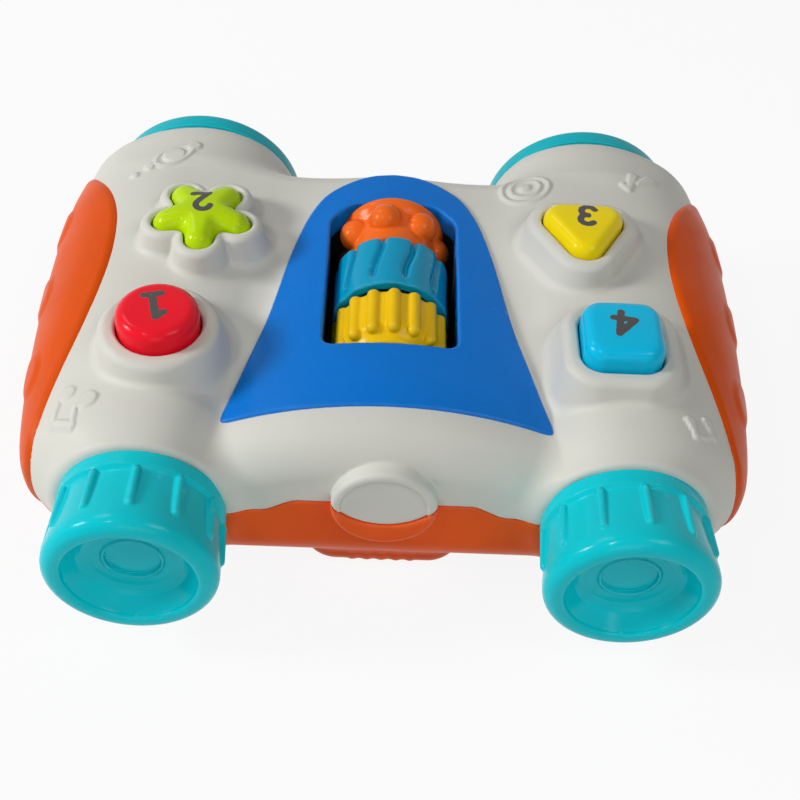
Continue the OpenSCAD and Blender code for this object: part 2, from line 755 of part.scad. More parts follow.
module lower_shell() color(orange_c) difference() {
    union() {
        difference() {
            union() {
                difference() {
                    casing_outer();
                    casing_inner();
                }
                intersection() {
                    casing_outer();
                    union() {
                        for (i = [0 : len(shell_screw_shares) - 1]) let (p = shell_screw_at(i)) both_sides()
                            rod_z(boss_wall_r, belly_z, crown_z, p[0], p[1]);
                        bearing_rings();
                    }
                }
                bulge(0, belly_z + wall / 2);
            }
            above_split(-seat_gap);
            bulge(wall, floor_z + overrun);
        }
        lower_boss();
        battery_box();
        block(-door_hw - box_wall, door_hw + box_wall, door_y0 - box_wall, door_y1 + box_wall, 0,
            door_t + box_wall);
        rod_z(boss_wall_r, door_t, belly_z + wall, 0, door_screw_y);
        translate([-side_x, side_y, belly_z + wall / 2]) difference() {
            cylinder(r = speaker_r, h = wall / 2 + seat_h);
            translate([0, 0, -overrun]) cylinder(r = speaker_r - wall, h = wall + seat_h + overrun);
        }
        speaker_screw_places() translate([0, 0, floor_z - overrun]) cylinder(r = speaker_boss_r,
            h = seat_h + speaker_rim_h + overrun);
        for (s = [-1, 1]) translate([side_x + s * (can_l + can_post + play) / 2, side_y, 0])
            block(-can_post / 2, can_post / 2, -can_w / 2, can_w / 2, belly_z + wall / 2, can_z + can_h);
    }
    grip_zone(0);
    both_sides() grip_peg_places() along_x(pod_x, half_w) circle(r = peg_r + seat_gap);
    block(-box_hw, box_hw, box_y, box_y + box_len, -overrun, box_top - box_wall);
    block(-door_hw - play, door_hw + play, door_y0 - play, door_y1 + play, -overrun, door_t);
    rod_z(screw_r + run_gap, -overrun, floor_z + overrun, 0, door_screw_y);
    cup_and_eye_holes();
    for (i = [0 : len(shell_screw_shares) - 1]) let (p = shell_screw_at(i)) both_sides() {
        rod_z(screw_r + seat_gap, -overrun, crown_z, p[0], p[1]);
        rod_z(head_r + seat_gap, -overrun, head_seat(p), p[0], p[1]);
    }
    translate([-side_x, side_y, -overrun]) for (ring = [0 : grille_rings], i = [0 : max(0, 6 * ring - 1)])
        rotate(ring == 0 ? 0 : 60 * i / ring) translate([ring * grille_pitch, 0, 0])
            cylinder(r = grille_r, h = floor_z + 2 * overrun);
    speaker_screw_places() translate([0, 0, floor_z]) cylinder(r = screw_r / 2 + run_gap, h = crown_z);
    block(side_x - slot_l / 2, side_x + slot_l / 2, side_y - slot_w / 2, side_y + slot_w / 2, -overrun,
        floor_z + overrun);
}

// Cells along Y, with plates and springs at their ends
module cell_places() for (s = [-1, 1])
    translate([s * cell_pitch / 2, box_y + box_len / 2, cell_z]) children();
nub_r = 2.7;
nub_len = 1.5;
module cells() color([0.2, 0.2, 0.22]) cell_places() {
    rod_y(cell_r, -cell_len / 2, cell_len / 2 - nub_len, 0, 0);
    rod_y(nub_r, -cell_len / 2, cell_len / 2, 0, 0);
}
module contact_plates() color(steel_c) for (s = [-1, 1]) cell_places()
    translate([0, s * (box_len - contact_t) / 2 - s * seat_gap, 0])
        cube([contact_w, contact_t, contact_w], center = true);
module contact_springs() color(steel_c) cell_places() {
    rod_y(contact_w / 2, -box_len / 2 + contact_t + seat_gap, -box_len / 2 + contact_room / 2, 0, 0);
    rod_y(nub_r, -box_len / 2 + contact_t + seat_gap, -box_len / 2 + contact_room - seat_gap, 0, 0);
}
module battery_door() color(orange_c) difference() {
    block(-door_hw, door_hw, door_y0, door_y1, 0, door_t - seat_gap);
    rod_z(screw_r + seat_gap, -overrun, 2 * door_t, 0, door_screw_y);
    rod_z(head_r + seat_gap, -overrun, door_seat, 0, door_screw_y);
}
module door_screw() color(steel_c) screw_up(0, door_screw_y, door_seat, belly_z);

// Speaker: frame, cone and magnet on a seat ring
speaker_z = floor_z + seat_h;
module speaker_screw_places() for (i = [0 : 2]) translate([-side_x, side_y, 0]) rotate(120 * i + 30)
    translate([speaker_r + speaker_boss_r + play, 0, 0]) children();
module speaker_frame() color(steel_c) translate([-side_x, side_y, speaker_z]) rotate_extrude()
    polygon([[cone_r + wall, 0], [speaker_r, 0], [speaker_r, speaker_rim_h], [cone_r + wall, speaker_rim_h],
        [magnet_r, speaker_h], [magnet_r / 2, speaker_h], [magnet_r / 2, speaker_h - speaker_rim_h / 2],
        [magnet_r - speaker_rim_h / 2, speaker_h - speaker_rim_h / 2]]);
module speaker_cone() color(dark_c) translate([-side_x, side_y, speaker_z]) rotate_extrude()
    polygon([[0, speaker_h / 2], [cone_r / 2, speaker_h / 2], [cone_r + wall / 2, 0],
        [cone_r + wall / 2, cone_t], [cone_r / 2, speaker_h / 2 + cone_t], [0, speaker_h / 2 + cone_t]]);
module speaker_magnet() color(dark_c) translate([-side_x, side_y, speaker_z + speaker_h])
    cylinder(r = magnet_r, h = magnet_h);
module speaker_screws() color(steel_c) speaker_screw_places() {
    rod_z(screw_r / 2, floor_z + seat_gap, speaker_z + speaker_rim_h + seat_gap, 0, 0);
    rod_z(head_r, speaker_z + speaker_rim_h + seat_gap, speaker_z + speaker_rim_h + head_h, 0, 0);
}

// Power slider in its slot, with the switch above it
slider_x = side_x - slider_travel / 2;
can_z = floor_z + slider_t + lever_h;
module power_slider() color(dark_c) translate([slider_x, side_y, 0]) {
    block(-slot_l / 2 - slider_pad, slot_l / 2 + slider_pad, -slot_w / 2 - slider_pad / 2,
        slot_w / 2 + slider_pad / 2, floor_z + slide_gap, floor_z + slider_t);
    block(-slot_l / 2 + slider_travel / 2 + play, slot_l / 2 - slider_travel / 2 - play,
        -slot_w / 2 + slide_gap,
        slot_w / 2 - slide_gap, belly_z - nub_stand, floor_z + slider_t);
}
module switch_lever() color(steel_c) translate([slider_x, side_y, 0])
    block(-lever_w / 2, lever_w / 2, -lever_w / 2, lever_w / 2, floor_z + slider_t, can_z + can_h / 2);
module slide_switch() color(steel_c) difference() {
    translate([side_x, side_y, 0])
        block(-can_l / 2, can_l / 2, -can_w / 2, can_w / 2, can_z, can_z + can_h);
    translate([side_x, side_y, 0]) block(-slider_travel / 2 - lever_w, slider_travel / 2 + lever_w, -lever_w,
        lever_w, can_z - overrun, can_z + can_h / 2 + play);
}

// Turning front cup: outer skirt, fat rim, tapered recess and a hub through the front wall
cup_back = front_y - play;
cup_front = front_y - cup_len;
cup_floor = cup_front + cup_recess;
cup_body_r = cup_r - cup_step;
rim_mid = cup_front + cup_rim_r;
mouth_r = cup_r + cup_rim_proud - 2 * cup_rim_r;
floor_r = mouth_r - cup_floor_taper;
function arc_points(cx, cy, r, a0, a1) = [for (i = [0 : 2 * corner_steps])
    let (a = a0 + (a1 - a0) * i / (2 * corner_steps)) [cx + r * cos(a), cy + r * sin(a)]];
module cup_section() {
    rim_x = cup_r + cup_rim_proud - cup_rim_r;
    polygon(concat(
        [[0, cup_floor + cup_dimple_d], [cup_dimple_r, cup_floor + cup_dimple_d], [cup_dimple_r, cup_floor],
            [floor_r, cup_floor]],
        arc_points(rim_x, rim_mid, cup_rim_r, 200, 360),
        [[cup_body_r, rim_mid + cup_rim_r], [cup_body_r, cup_back - cup_band], [cup_r, cup_back - cup_band],
            [cup_r, cup_back], [cup_r - cup_wall, cup_back],
            [cup_r - 2 * cup_wall, cup_floor + 2 * cup_wall],
            [hub_r, cup_floor + 2 * cup_wall], [hub_r, front_y + bearing_len + play],
            [screw_r + run_gap, front_y + bearing_len + play], [screw_r + run_gap, cup_floor + 2 * cup_wall],
            [0, cup_floor + 2 * cup_wall]]));
}
module front_cup(x) color(teal_c) {
    turned_y(x, cup_z) cup_section();
    translate([x, 0, cup_z]) around_y(cup_ribs)
        block(-cup_rib_hw, cup_rib_hw, rim_mid + cup_rim_r + cup_rib_drop, cup_back - cup_band / 2,
            cup_body_r - cup_step, cup_r - cup_rib_drop);
}
module left_front_cup() front_cup(-cup_x);
module right_front_cup() front_cup(cup_x);

retainer_y = front_y + bearing_len + play;
module cup_retainer(x) color(white_c) difference() {
    rod_y(retainer_r, retainer_y, retainer_y + retainer_t, x, cup_z);
    rod_y(screw_r + seat_gap, retainer_y - overrun, retainer_y + retainer_t + overrun, x, cup_z);
}
module cup_screw(x) color(steel_c) translate([x, retainer_y + retainer_t, cup_z]) rotate([90, 0, 0])
    screw_up(0, 0, 0, screw_reach);
module left_cup_retainer() cup_retainer(-cup_x);
module right_cup_retainer() cup_retainer(cup_x);
module left_cup_screw() cup_screw(-cup_x);
module right_cup_screw() cup_screw(cup_x);

// Eyepiece ring: outer band, funnel, lens seat and a sleeve with a bead behind the end wall
sleeve_r = lens_r + eye_sleeve;
module eye_ring(x) color(teal_c) turned_y(x, axis_h) polygon([
    [eye_r - eye_wall, back_y + eye_len], [eye_r, back_y + eye_len - eye_wall / 4],
    [eye_r, back_y + seat_gap],
    [sleeve_r, back_y + seat_gap], [sleeve_r, back_y - wall - seat_gap],
    [sleeve_r + eye_bead, back_y - wall - seat_gap], [sleeve_r, back_y - 2 * wall],
    [lens_r - eye_seat, back_y - 2 * wall], [lens_r - eye_seat, back_y - eye_seat],
    [lens_r + seat_gap, back_y - eye_seat], [lens_r + seat_gap, back_y]]);
module eye_lens(x) color([0.12, 0.16, 0.22]) turned_y(x, axis_h)
    translate([0, back_y - eye_seat + seat_gap]) square([lens_r, lens_t]);
module left_eye_ring() eye_ring(-eye_x);
module right_eye_ring() eye_ring(eye_x);
module left_eye_lens() eye_lens(-eye_x);
module right_eye_lens() eye_lens(eye_x);

upper_shell();
lower_shell();
left_grip();
right_grip();
face_plate();
roller_cradle();
cradle_screws();
roller_axle();
yellow_roller();
blue_roller();
orange_roller();
red_button();
star_button();
triangle_button();
square_button();
red_dome();
star_dome();
triangle_dome();
square_dome();
circuit_board();
sound_chip();
board_screws();
speaker_frame();
speaker_cone();
speaker_magnet();
speaker_screws();
cells();
contact_plates();
contact_springs();
battery_door();
door_screw();
power_slider();
switch_lever();
slide_switch();
left_front_cup();
right_front_cup();
left_cup_retainer();
right_cup_retainer();
left_cup_screw();
right_cup_screw();
left_eye_ring();
right_eye_ring();
left_eye_lens();
right_eye_lens();
shell_screws();
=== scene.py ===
import functools
import math

import bpy
import numpy as np
from mathutils import Matrix


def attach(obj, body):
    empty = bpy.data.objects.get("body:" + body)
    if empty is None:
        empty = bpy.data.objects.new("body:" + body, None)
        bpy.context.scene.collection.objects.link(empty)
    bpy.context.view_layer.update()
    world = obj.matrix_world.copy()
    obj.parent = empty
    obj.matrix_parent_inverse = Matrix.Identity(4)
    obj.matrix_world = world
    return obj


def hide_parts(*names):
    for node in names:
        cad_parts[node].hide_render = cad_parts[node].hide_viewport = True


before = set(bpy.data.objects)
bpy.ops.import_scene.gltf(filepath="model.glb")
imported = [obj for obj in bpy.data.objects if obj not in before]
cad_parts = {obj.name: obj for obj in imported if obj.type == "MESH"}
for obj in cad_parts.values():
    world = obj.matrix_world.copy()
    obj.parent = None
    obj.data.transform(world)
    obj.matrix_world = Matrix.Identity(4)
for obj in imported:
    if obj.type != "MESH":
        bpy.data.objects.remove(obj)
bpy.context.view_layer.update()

# Casing frame, in millimetres: origin on the front wall between the cups, X across, Y back, Z up
CASING_ORIGIN = np.array([0.0, -47.9, 27.0])
MM = 0.001
COARSE = 1.0

# Camera: turn and place found from the photograph's vanishing lines, in the casing frame
PITCH, YAW, ROLL = 47.21, 1.67, 3.44
CAMERA_SHIFT = np.array([-3.8, 27.1, 302.8])
FOCAL_PX = 1315.4
IMAGE_PX = 800
SENSOR_MM = 36.0
NEAR_CLIP = 0.01

# Studio, in metres and watts: each lamp's place, size and power
LAMPS = {
    "key": ((-0.97, -0.08, 0.6), 0.3, 7.4),
    "back": ((-0.6, 0.45, 0.85), 0.4, 1.4),
    "front": ((0.0, -1.15, 0.5), 0.7, 1.9),
    "right": ((0.55, -0.45, 0.95), 0.5, 3.3),
    "spark": ((-0.45, -0.45, 0.95), 0.05, 1.3),
}
LAMP_TARGET = (0, 0, 0.03)
WORLD_LEVEL = 0.03
FLOOR_HALF = 1.6
FLOOR_DROP = 0.0002
FLOOR_GREY = 0.82
FLOOR_ROUGH = 0.9
FLOOR_GLOW = 0.9

# Meshing: step for the field's slope, and how often the points are drawn onto the surface
SLOPE_STEP = 0.04
PULLS = 2

# Casing: two pods, an arched middle between them, round stubs for the cups and the eyepieces
BODY_LEN = 112.0
WALL = 2.2
CUP_X, CUP_Z = 55.0, 2.1
EYE_X = 53.0
BELLY = 20.0
POD_CREST_X = 55.0
POD_POWER = 2.15
CREST_FRONT, CREST_RISE = 23.0, 3.5
FLANK_REACH, FLANK_GROWTH, FLANK_POWER = 16.5, 0.0143, 2.3
VALLEY_BLEND = 4.5
ARCH_R = 90.0
ARCH_TOP = 25.5
ARCH_REACH = 80.0
BRIDGE_BACK = 98.0
NOSE_FILLET, NOSE_ROUND = 9.0, 7.0
TUBE_INNER, TUBE_OUTER, TUBE_UP, TUBE_DOWN, TUBE_POWER = 26.3, 300.0, 26.6, 26.0, 2.1
FRONT_ROUND = 11.0
BACK_ROUND = 5.0
CUP_STUB_R, CUP_STUB_BACK, CUP_STUB_BLEND = 20.3, 14.0, 6.0
EYE_STUB_R, EYE_STUB_FRONT, EYE_STUB_BLEND = 25.6, 98.0, 5.0
STUB_ROUND = 1.0
# Half width along the length, as a smooth curve through these places
WIDTH_AT = [(0, 81.6), (12.5, 84.3), (30, 86.6), (54, 88.0), (73, 88.4), (91, 87.6),
            (109, 84.9), (114, 83.7)]
WIDTH_FIT = np.polyfit(*np.transpose(WIDTH_AT), 4)

# Seam between the shells: height, rise beside the boss, drop at the sides
SEAM_Z, SEAM_RISE, SEAM_DROP = 1.0, 3.8, 6.0
SEAM_GAP, SEAM_ROUND = 0.06, 0.6

# Boss on the front wall: its white part is what lies in a second circle
BOSS_Z, BOSS_R, BOSS_FRONT, BOSS_BACK, BOSS_ROUND = 6.7, 12.2, -3.3, 3.0, 1.1
BOSS_FACE_R, BOSS_FACE_Y = 9.9, -2.75
BOSS_CAP_Z, BOSS_CAP_R, BOSS_CAP_GAP, BOSS_CAP_ROUND = 15.1, 14.3, 0.08, 0.5
BOSS_FILLET = 0.35

# Bell outline of the face plate, right half from front to back, and the slot for the rollers
PLATE_HALF = [(38.3, 11.3), (37.8, 14.0), (35.5, 21.5), (32.7, 31.4), (30.0, 41.0),
              (28.0, 51.0), (26.2, 61.0), (24.0, 70.6), (21.4, 79.0), (17.9, 85.8),
              (13.0, 90.1), (6.6, 93.1), (0.0, 94.0)]
PLATE_STEPS = 4
PLATE_CORNER = 2.2
PLATE_T = 2.0
PLATE_PROUD = 0.8
BAY_Y = 56.146
BAY_HX, BAY_HY = 15.9, 25.8
CRADLE_HX, CRADLE_HY, CRADLE_FLOOR = 18.1, 27.9, 2.0

# Grip outline: distance along the casing, and along its section from the widest line upwards
GRIP_ARM = 27.0
GRIP_EDGE = [(104.5, 0.0), (103.0, 11.3), (95.5, 18.2), (88.0, 22.9), (80.0, 25.8),
             (72.0, 27.0), (62.0, 27.2), (51.0, 26.0), (39.0, 23.6), (29.0, 20.8),
             (19.0, 17.4), (10.5, 13.6), (6.4, 8.6), (5.2, 0.0), (6.4, -8.0), (11.0, -13.0),
             (19.0, -16.5), (29.0, -18.3), (39.0, -19.0), (51.0, -19.2), (62.0, -19.2),
             (72.0, -19.0), (80.0, -18.5), (88.0, -17.0), (95.5, -13.0), (102.5, -7.0)]
GRIP_DEPTH = 3.0
GRIP_PROUD = 0.9
GRIP_LIP = 0.6
# Finger ovals: place along the casing and along its section, then their shape
GRIP_BUMPS = [(30.0, 9.5), (58.0, 8.0), (84.0, 8.5)]
BUMP_STRETCH, BUMP_R, BUMP_RISE = 1.7, 3.6, 0.6

# Buttons: places, heights of the collars and caps, outlines
BUTTONS = {"red": (-53.22, 30.8), "star": (-47.44, 68.99), "triangle": (47.44, 68.99),
           "square": (53.22, 30.8)}
COLLAR_Z = {"red": 29.3, "star": 30.7, "triangle": 30.7, "square": 29.3}
COLLAR_LEAN = {"red": 0.24, "star": 0.2, "triangle": 0.3, "square": 0.26}
COLLAR_DEPTH = 12.4
COLLAR_ROUND, COLLAR_FILLET = 1.7, 1.4
BUTTON_TOP = {"red": 34.7, "star": 33.94, "triangle": 33.94, "square": 34.7}
BUTTON_ROUND = {"red": 2.6, "star": 3.3, "triangle": 2.8, "square": 2.7}
BUTTON_FALL = {"red": 0.0035, "star": 0.012, "triangle": 0.0035, "square": 0.0035}
BUTTON_GAP = 0.35
CAP_DEPTH, CAP_WALL, CAP_HOLLOW = 5.9, 2.4, 6.2
FLANGE_OUT, FLANGE_T, FLANGE_ROOM, FLANGE_STOP = 1.4, 1.6, 1.6, 4.0
STEM_R, STEM_FOOT, STEM_TOP = 3.0, 14.4, 7.5
RED_R, RED_COLLAR_R = 9.58, 13.8
SQUARE_HW, SQUARE_CORNER = 9.32, 4.9
SQUARE_COLLAR_HW, SQUARE_COLLAR_CORNER = 13.2, 8.2
TRIANGLE_REACH, TRIANGLE_CORNER, TRIANGLE_COLLAR = 6.18, 4.6, 3.5
STAR_ANGLES = [math.radians(-90 + 72 * k) for k in range(5)]
STAR_REACH, STAR_ROOT, STAR_TIP, STAR_BLEND = 9.2, 5.0, 3.4, 2.0
FLOWER_CORE, PETAL_AT, PETAL_R, PETAL_BLEND = 9.8, 9.3, 6.0, 0.7

# Raised signs: bars with the radius at each end, and how far the signs stand out
SIGN_BARS = [
    ((60.7, 94.0), (62.0, 92.4), 1.0, 0.8), ((63.8, 98.4), (62.0, 92.4), 1.3, 0.8),
    ((68.4, 98.1), (64.6, 95.3), 1.7, 0.5), ((-72.8, 16.8), (-73.0, 16.6), 2.0, 2.0),
    ((-67.4, 13.2), (-67.6, 13.1), 2.5, 2.5), ((-74.4, 15.6), (-75.1, 8.6), 0.55, 0.55),
    ((-69.7, 12.4), (-70.0, 6.3), 0.55, 0.55), ((-75.0, 9.2), (-70.1, 7.0), 1.0, 1.0),
    ((68.6, 14.0), (69.5, 10.3), 1.4, 0.6), ((73.1, 15.7), (74.0, 12.3), 1.3, 0.6),
    ((69.5, 10.2), (69.6, 10.0), 0.95, 0.95), ((74.0, 12.2), (74.1, 12.0), 0.9, 0.9),
    ((69.6, 10.2), (72.0, 10.4), 0.5, 0.45), ((72.0, 10.4), (74.0, 12.2), 0.45, 0.5)]
SIGN_DOTS = [(-53.7, 102.3, 1.9), (-64.7, 94.0, 1.4), (-68.3, 91.4, 1.1)]
SIGN_RISE = 0.6

# Screws, posts and seats
SCREW_PLACES = [(33.82, 11.2), (35.6, 89.6), (73.87, 58.24)]
POST_PLACES = [(28.8, BAY_Y - 15.85), (28.8, BAY_Y + 15.85)]
UPPER_TUBE_R, LOWER_TUBE_R, POST_R = 3.5, 3.6, 3.2
PILOT_R, CLEARANCE_R = 1.5, 1.6
HEAD_R, HEAD_T = 2.9, 1.8
HUB_R, HUB_BACK = 8.15, 12.0
BEARING_R, BEARING_FRONT, BEARING_BACK = 11.0, 1.5, 6.0
EYE_SEAT_R, EYE_SEAT_FRONT = 20.95, 100.0

# Battery bulge, door and box; speaker on the left and switch on the right of it
BULGE_Y0, BULGE_Y1 = 5.0, 89.1
BULGE_HX = 20.1
BULGE_FOOT = -27.0
BULGE_FILLET = 2.5
RIDGE_PITCH, RIDGE_RISE = 3.6, 0.4
DOOR_HX, DOOR_Y0, DOOR_Y1 = 16.8, 16.0, 83.9
DOOR_GAP = 0.25
DOOR_SCREW_Y = 80.2
BOX_HX, BOX_Y0, BOX_Y1, BOX_TOP = 14.8, 18.0, 74.9, -8.9
BOX_WALL = 1.6
SIDE_X, SIDE_Y = 46.28, 61.6
GRILLE_PITCH, GRILLE_R = 4.6, 1.3

# Rollers
AXLE_Z = 15.6
AXLE_HOLE_R = 1.55
ROLLER_R = 14.1
ROLLER_HW = {"yellow": 7.55, "blue": 7.0, "orange": 6.9}
ROLLER_Y = {"yellow": BAY_Y - 17.5, "blue": BAY_Y + 1.4, "orange": BAY_Y + 18.3}
YELLOW_CORE, YELLOW_TAPER, YELLOW_RIBS, YELLOW_RIB_AT, YELLOW_RIB_R = 12.9, 2.2, 16, 12.55, 1.6
BLUE_LOBES, BLUE_NEAR, BLUE_HOLLOW_R = 11, 3.0, 11.8
ORANGE_CORE, ORANGE_FLARE, ORANGE_BALLS, BALL_AT, BALL_R = 11.2, 2.1, 7, 10.6, 4.2


def rmax(a, b, r):
    """Intersection with its edge rounded to radius r."""
    u = np.maximum(a + r, 0)
    v = np.maximum(b + r, 0)
    return np.minimum(np.maximum(a, b), -r) + np.sqrt(u * u + v * v)


def rmin(a, b, r):
    """Union with its corner filled to radius r."""
    return -rmax(-a, -b, r)


def smin(a, b, k):
    """Soft union that blends over a width of k."""
    h = np.maximum(k - np.abs(a - b), 0) / k
    return np.minimum(a, b) - h * h * (k / 4)


def smax(a, b, k):
    """Soft intersection that blends over a width of k."""
    return -smin(-a, -b, k)


def cut(d, tool, r):
    """Takes the tool out of a solid and rounds the new edge."""
    return rmax(d, -tool, r)


def union(parts):
    return functools.reduce(np.minimum, parts)


def ease(t):
    """Smooth step from 0 to 1."""
    c = np.clip(t, 0, 1)
    return c * c * (3 - 2 * c)


def circle(x, y, r):
    return np.sqrt(x * x + y * y) - r


def super_oval(u, v, a, b, p):
    """Distance, to first order, from the rounded oval of half widths a and b."""
    us = np.abs(u) / a
    vs = np.abs(v) / b
    up = us ** (p - 1)
    vp = vs ** (p - 1)
    rho = np.maximum(us * up + vs * vp, 1e-4) ** (1 / p)
    g = np.sqrt((up / a) ** 2 + (vp / b) ** 2) * rho ** (1 - p)
    return (rho - 1) / np.maximum(g, 1e-6)


def box2(x, y, hx, hy, r):
    """Distance from a rectangle with corners of radius r."""
    qx = np.abs(x) - hx + r
    qy = np.abs(y) - hy + r
    outside = np.sqrt(np.maximum(qx, 0) ** 2 + np.maximum(qy, 0) ** 2)
    return outside + np.minimum(np.maximum(qx, qy), 0) - r


def block(x, y, z, hx, y0, y1, z0, z1):
    """A box with sharp edges, symmetric in X."""
    flat = np.maximum(np.abs(x) - hx, np.maximum(y0 - y, y - y1))
    return np.maximum(flat, np.maximum(z0 - z, z - z1))


def bar(x, y, a, b, ra=0.0, rb=0.0):
    """Distance from a flat bar with round ends, whose radius goes from ra to rb."""
    ex, ey = b[0] - a[0], b[1] - a[1]
    t = np.clip(((x - a[0]) * ex + (y - a[1]) * ey) / (ex * ex + ey * ey), 0, 1)
    return circle(x - a[0] - ex * t, y - a[1] - ey * t, ra) - (rb - ra) * t


def strokes(x, y, lines, half):
    """Distance from a drawing made of open lines with round ends."""
    return union(bar(x, y, a, b) for line in lines for a, b in zip(line[:-1], line[1:])) - half


def arc(cx, cy, r, a0, a1, n):
    return [(cx + r * math.cos(math.radians(a)), cy + r * math.sin(math.radians(a)))
            for a in np.linspace(a0, a1, n)]


def turned(x, y, centre, degrees):
    """Coordinates about a centre, with the axes turned."""
    a = math.radians(degrees)
    dx, dy = x - centre[0], y - centre[1]
    return dx * math.cos(a) + dy * math.sin(a), -dx * math.sin(a) + dy * math.cos(a)


def folded(angle, count, shift):
    """Angle from the nearest of a ring of places."""
    pitch = 2 * math.pi / count
    return np.mod(angle - shift + pitch / 2, pitch) - pitch / 2


def polygon(px, py, pts):
    """Signed distance to a closed polygon."""
    pts = np.asarray(pts, float)
    best = None
    inside = False
    for (ax, ay), (bx, by) in zip(pts, np.roll(pts, 1, axis=0)):
        ex, ey = bx - ax, by - ay
        wx, wy = px - ax, py - ay
        t = np.clip((wx * ex + wy * ey) / max(ex * ex + ey * ey, 1e-12), 0, 1)
        d = (wx - ex * t) ** 2 + (wy - ey * t) ** 2
        best = d if best is None else np.minimum(best, d)
        above, under, left = py >= ay, py < by, ex * wy > ey * wx
        inside = inside ^ ((above & under & left) | (~above & ~under & ~left))
    return np.where(inside, -1.0, 1.0) * np.sqrt(best)


class Outline:
    """Signed distance to a flat closed outline, kept on a fine grid."""

    def __init__(self, pts, margin=12.0, step=0.12):
        pts = np.asarray(pts, float)
        self.low = pts.min(0) - margin
        self.step = step
        self.count = np.ceil((pts.max(0) + margin - self.low) / step).astype(int) + 1
        gx = self.low[0] + step * np.arange(self.count[0])
        gy = self.low[1] + step * np.arange(self.count[1])
        self.grid = polygon(gx[:, None], gy[None, :], pts)

    def __call__(self, x, y):
        fx = np.clip((x - self.low[0]) / self.step, 0, self.count[0] - 1.001)
        fy = np.clip((y - self.low[1]) / self.step, 0, self.count[1] - 1.001)
        i, j = fx.astype(int), fy.astype(int)
        a, b = fx - i, fy - j
        g = self.grid
        near = g[i, j] * (1 - a) + g[i + 1, j] * a
        far = g[i, j + 1] * (1 - a) + g[i + 1, j + 1] * a
        return near * (1 - b) + far * b


def curve_through(points, steps, closed=False):
    """Smooth points through a row of points."""
    p = np.asarray(points, float)
    if closed:
        p = np.vstack([p[-1], p, p[:2]])
    else:
        p = np.vstack([2 * p[0] - p[1], p, 2 * p[-1] - p[-2]])
    out = []
    for a, b, c, d in zip(p[:-3], p[1:-2], p[2:-1], p[3:]):
        for t in np.linspace(0, 1, steps, endpoint=False):
            out.append(0.5 * (2 * b + (c - a) * t + (2 * a - 5 * b + 4 * c - d) * t ** 2
                              + (3 * b - a - 3 * c + d) * t ** 3))
    if not closed:
        out.append(p[-2])
    return np.array(out)


def filleted(points, radii, steps=6):
    """Closed outline with an arc at each corner that has a radius."""
    p = np.asarray(points, float)
    out = []
    for prev, here, nxt, r in zip(np.roll(p, 1, 0), p, np.roll(p, -1, 0), radii):
        if r <= 0:
            out.append(here)
            continue
        u, v = (prev - here), (nxt - here)
        lu, lv = np.linalg.norm(u), np.linalg.norm(v)
        u, v = u / lu, v / lv
        half = math.acos(np.clip(np.dot(u, v), -1, 1)) / 2
        back = min(r / math.tan(half), 0.49 * lu, 0.49 * lv)
        r = back * math.tan(half)
        mid = here + (u + v) / np.linalg.norm(u + v) * (r / math.sin(half))
        a, b = here + u * back - mid, here + v * back - mid
        for t in np.linspace(0, 1, steps):
            w = a * (1 - t) + b * t
            out.append(mid + w / np.linalg.norm(w) * r)
    return np.array(out)


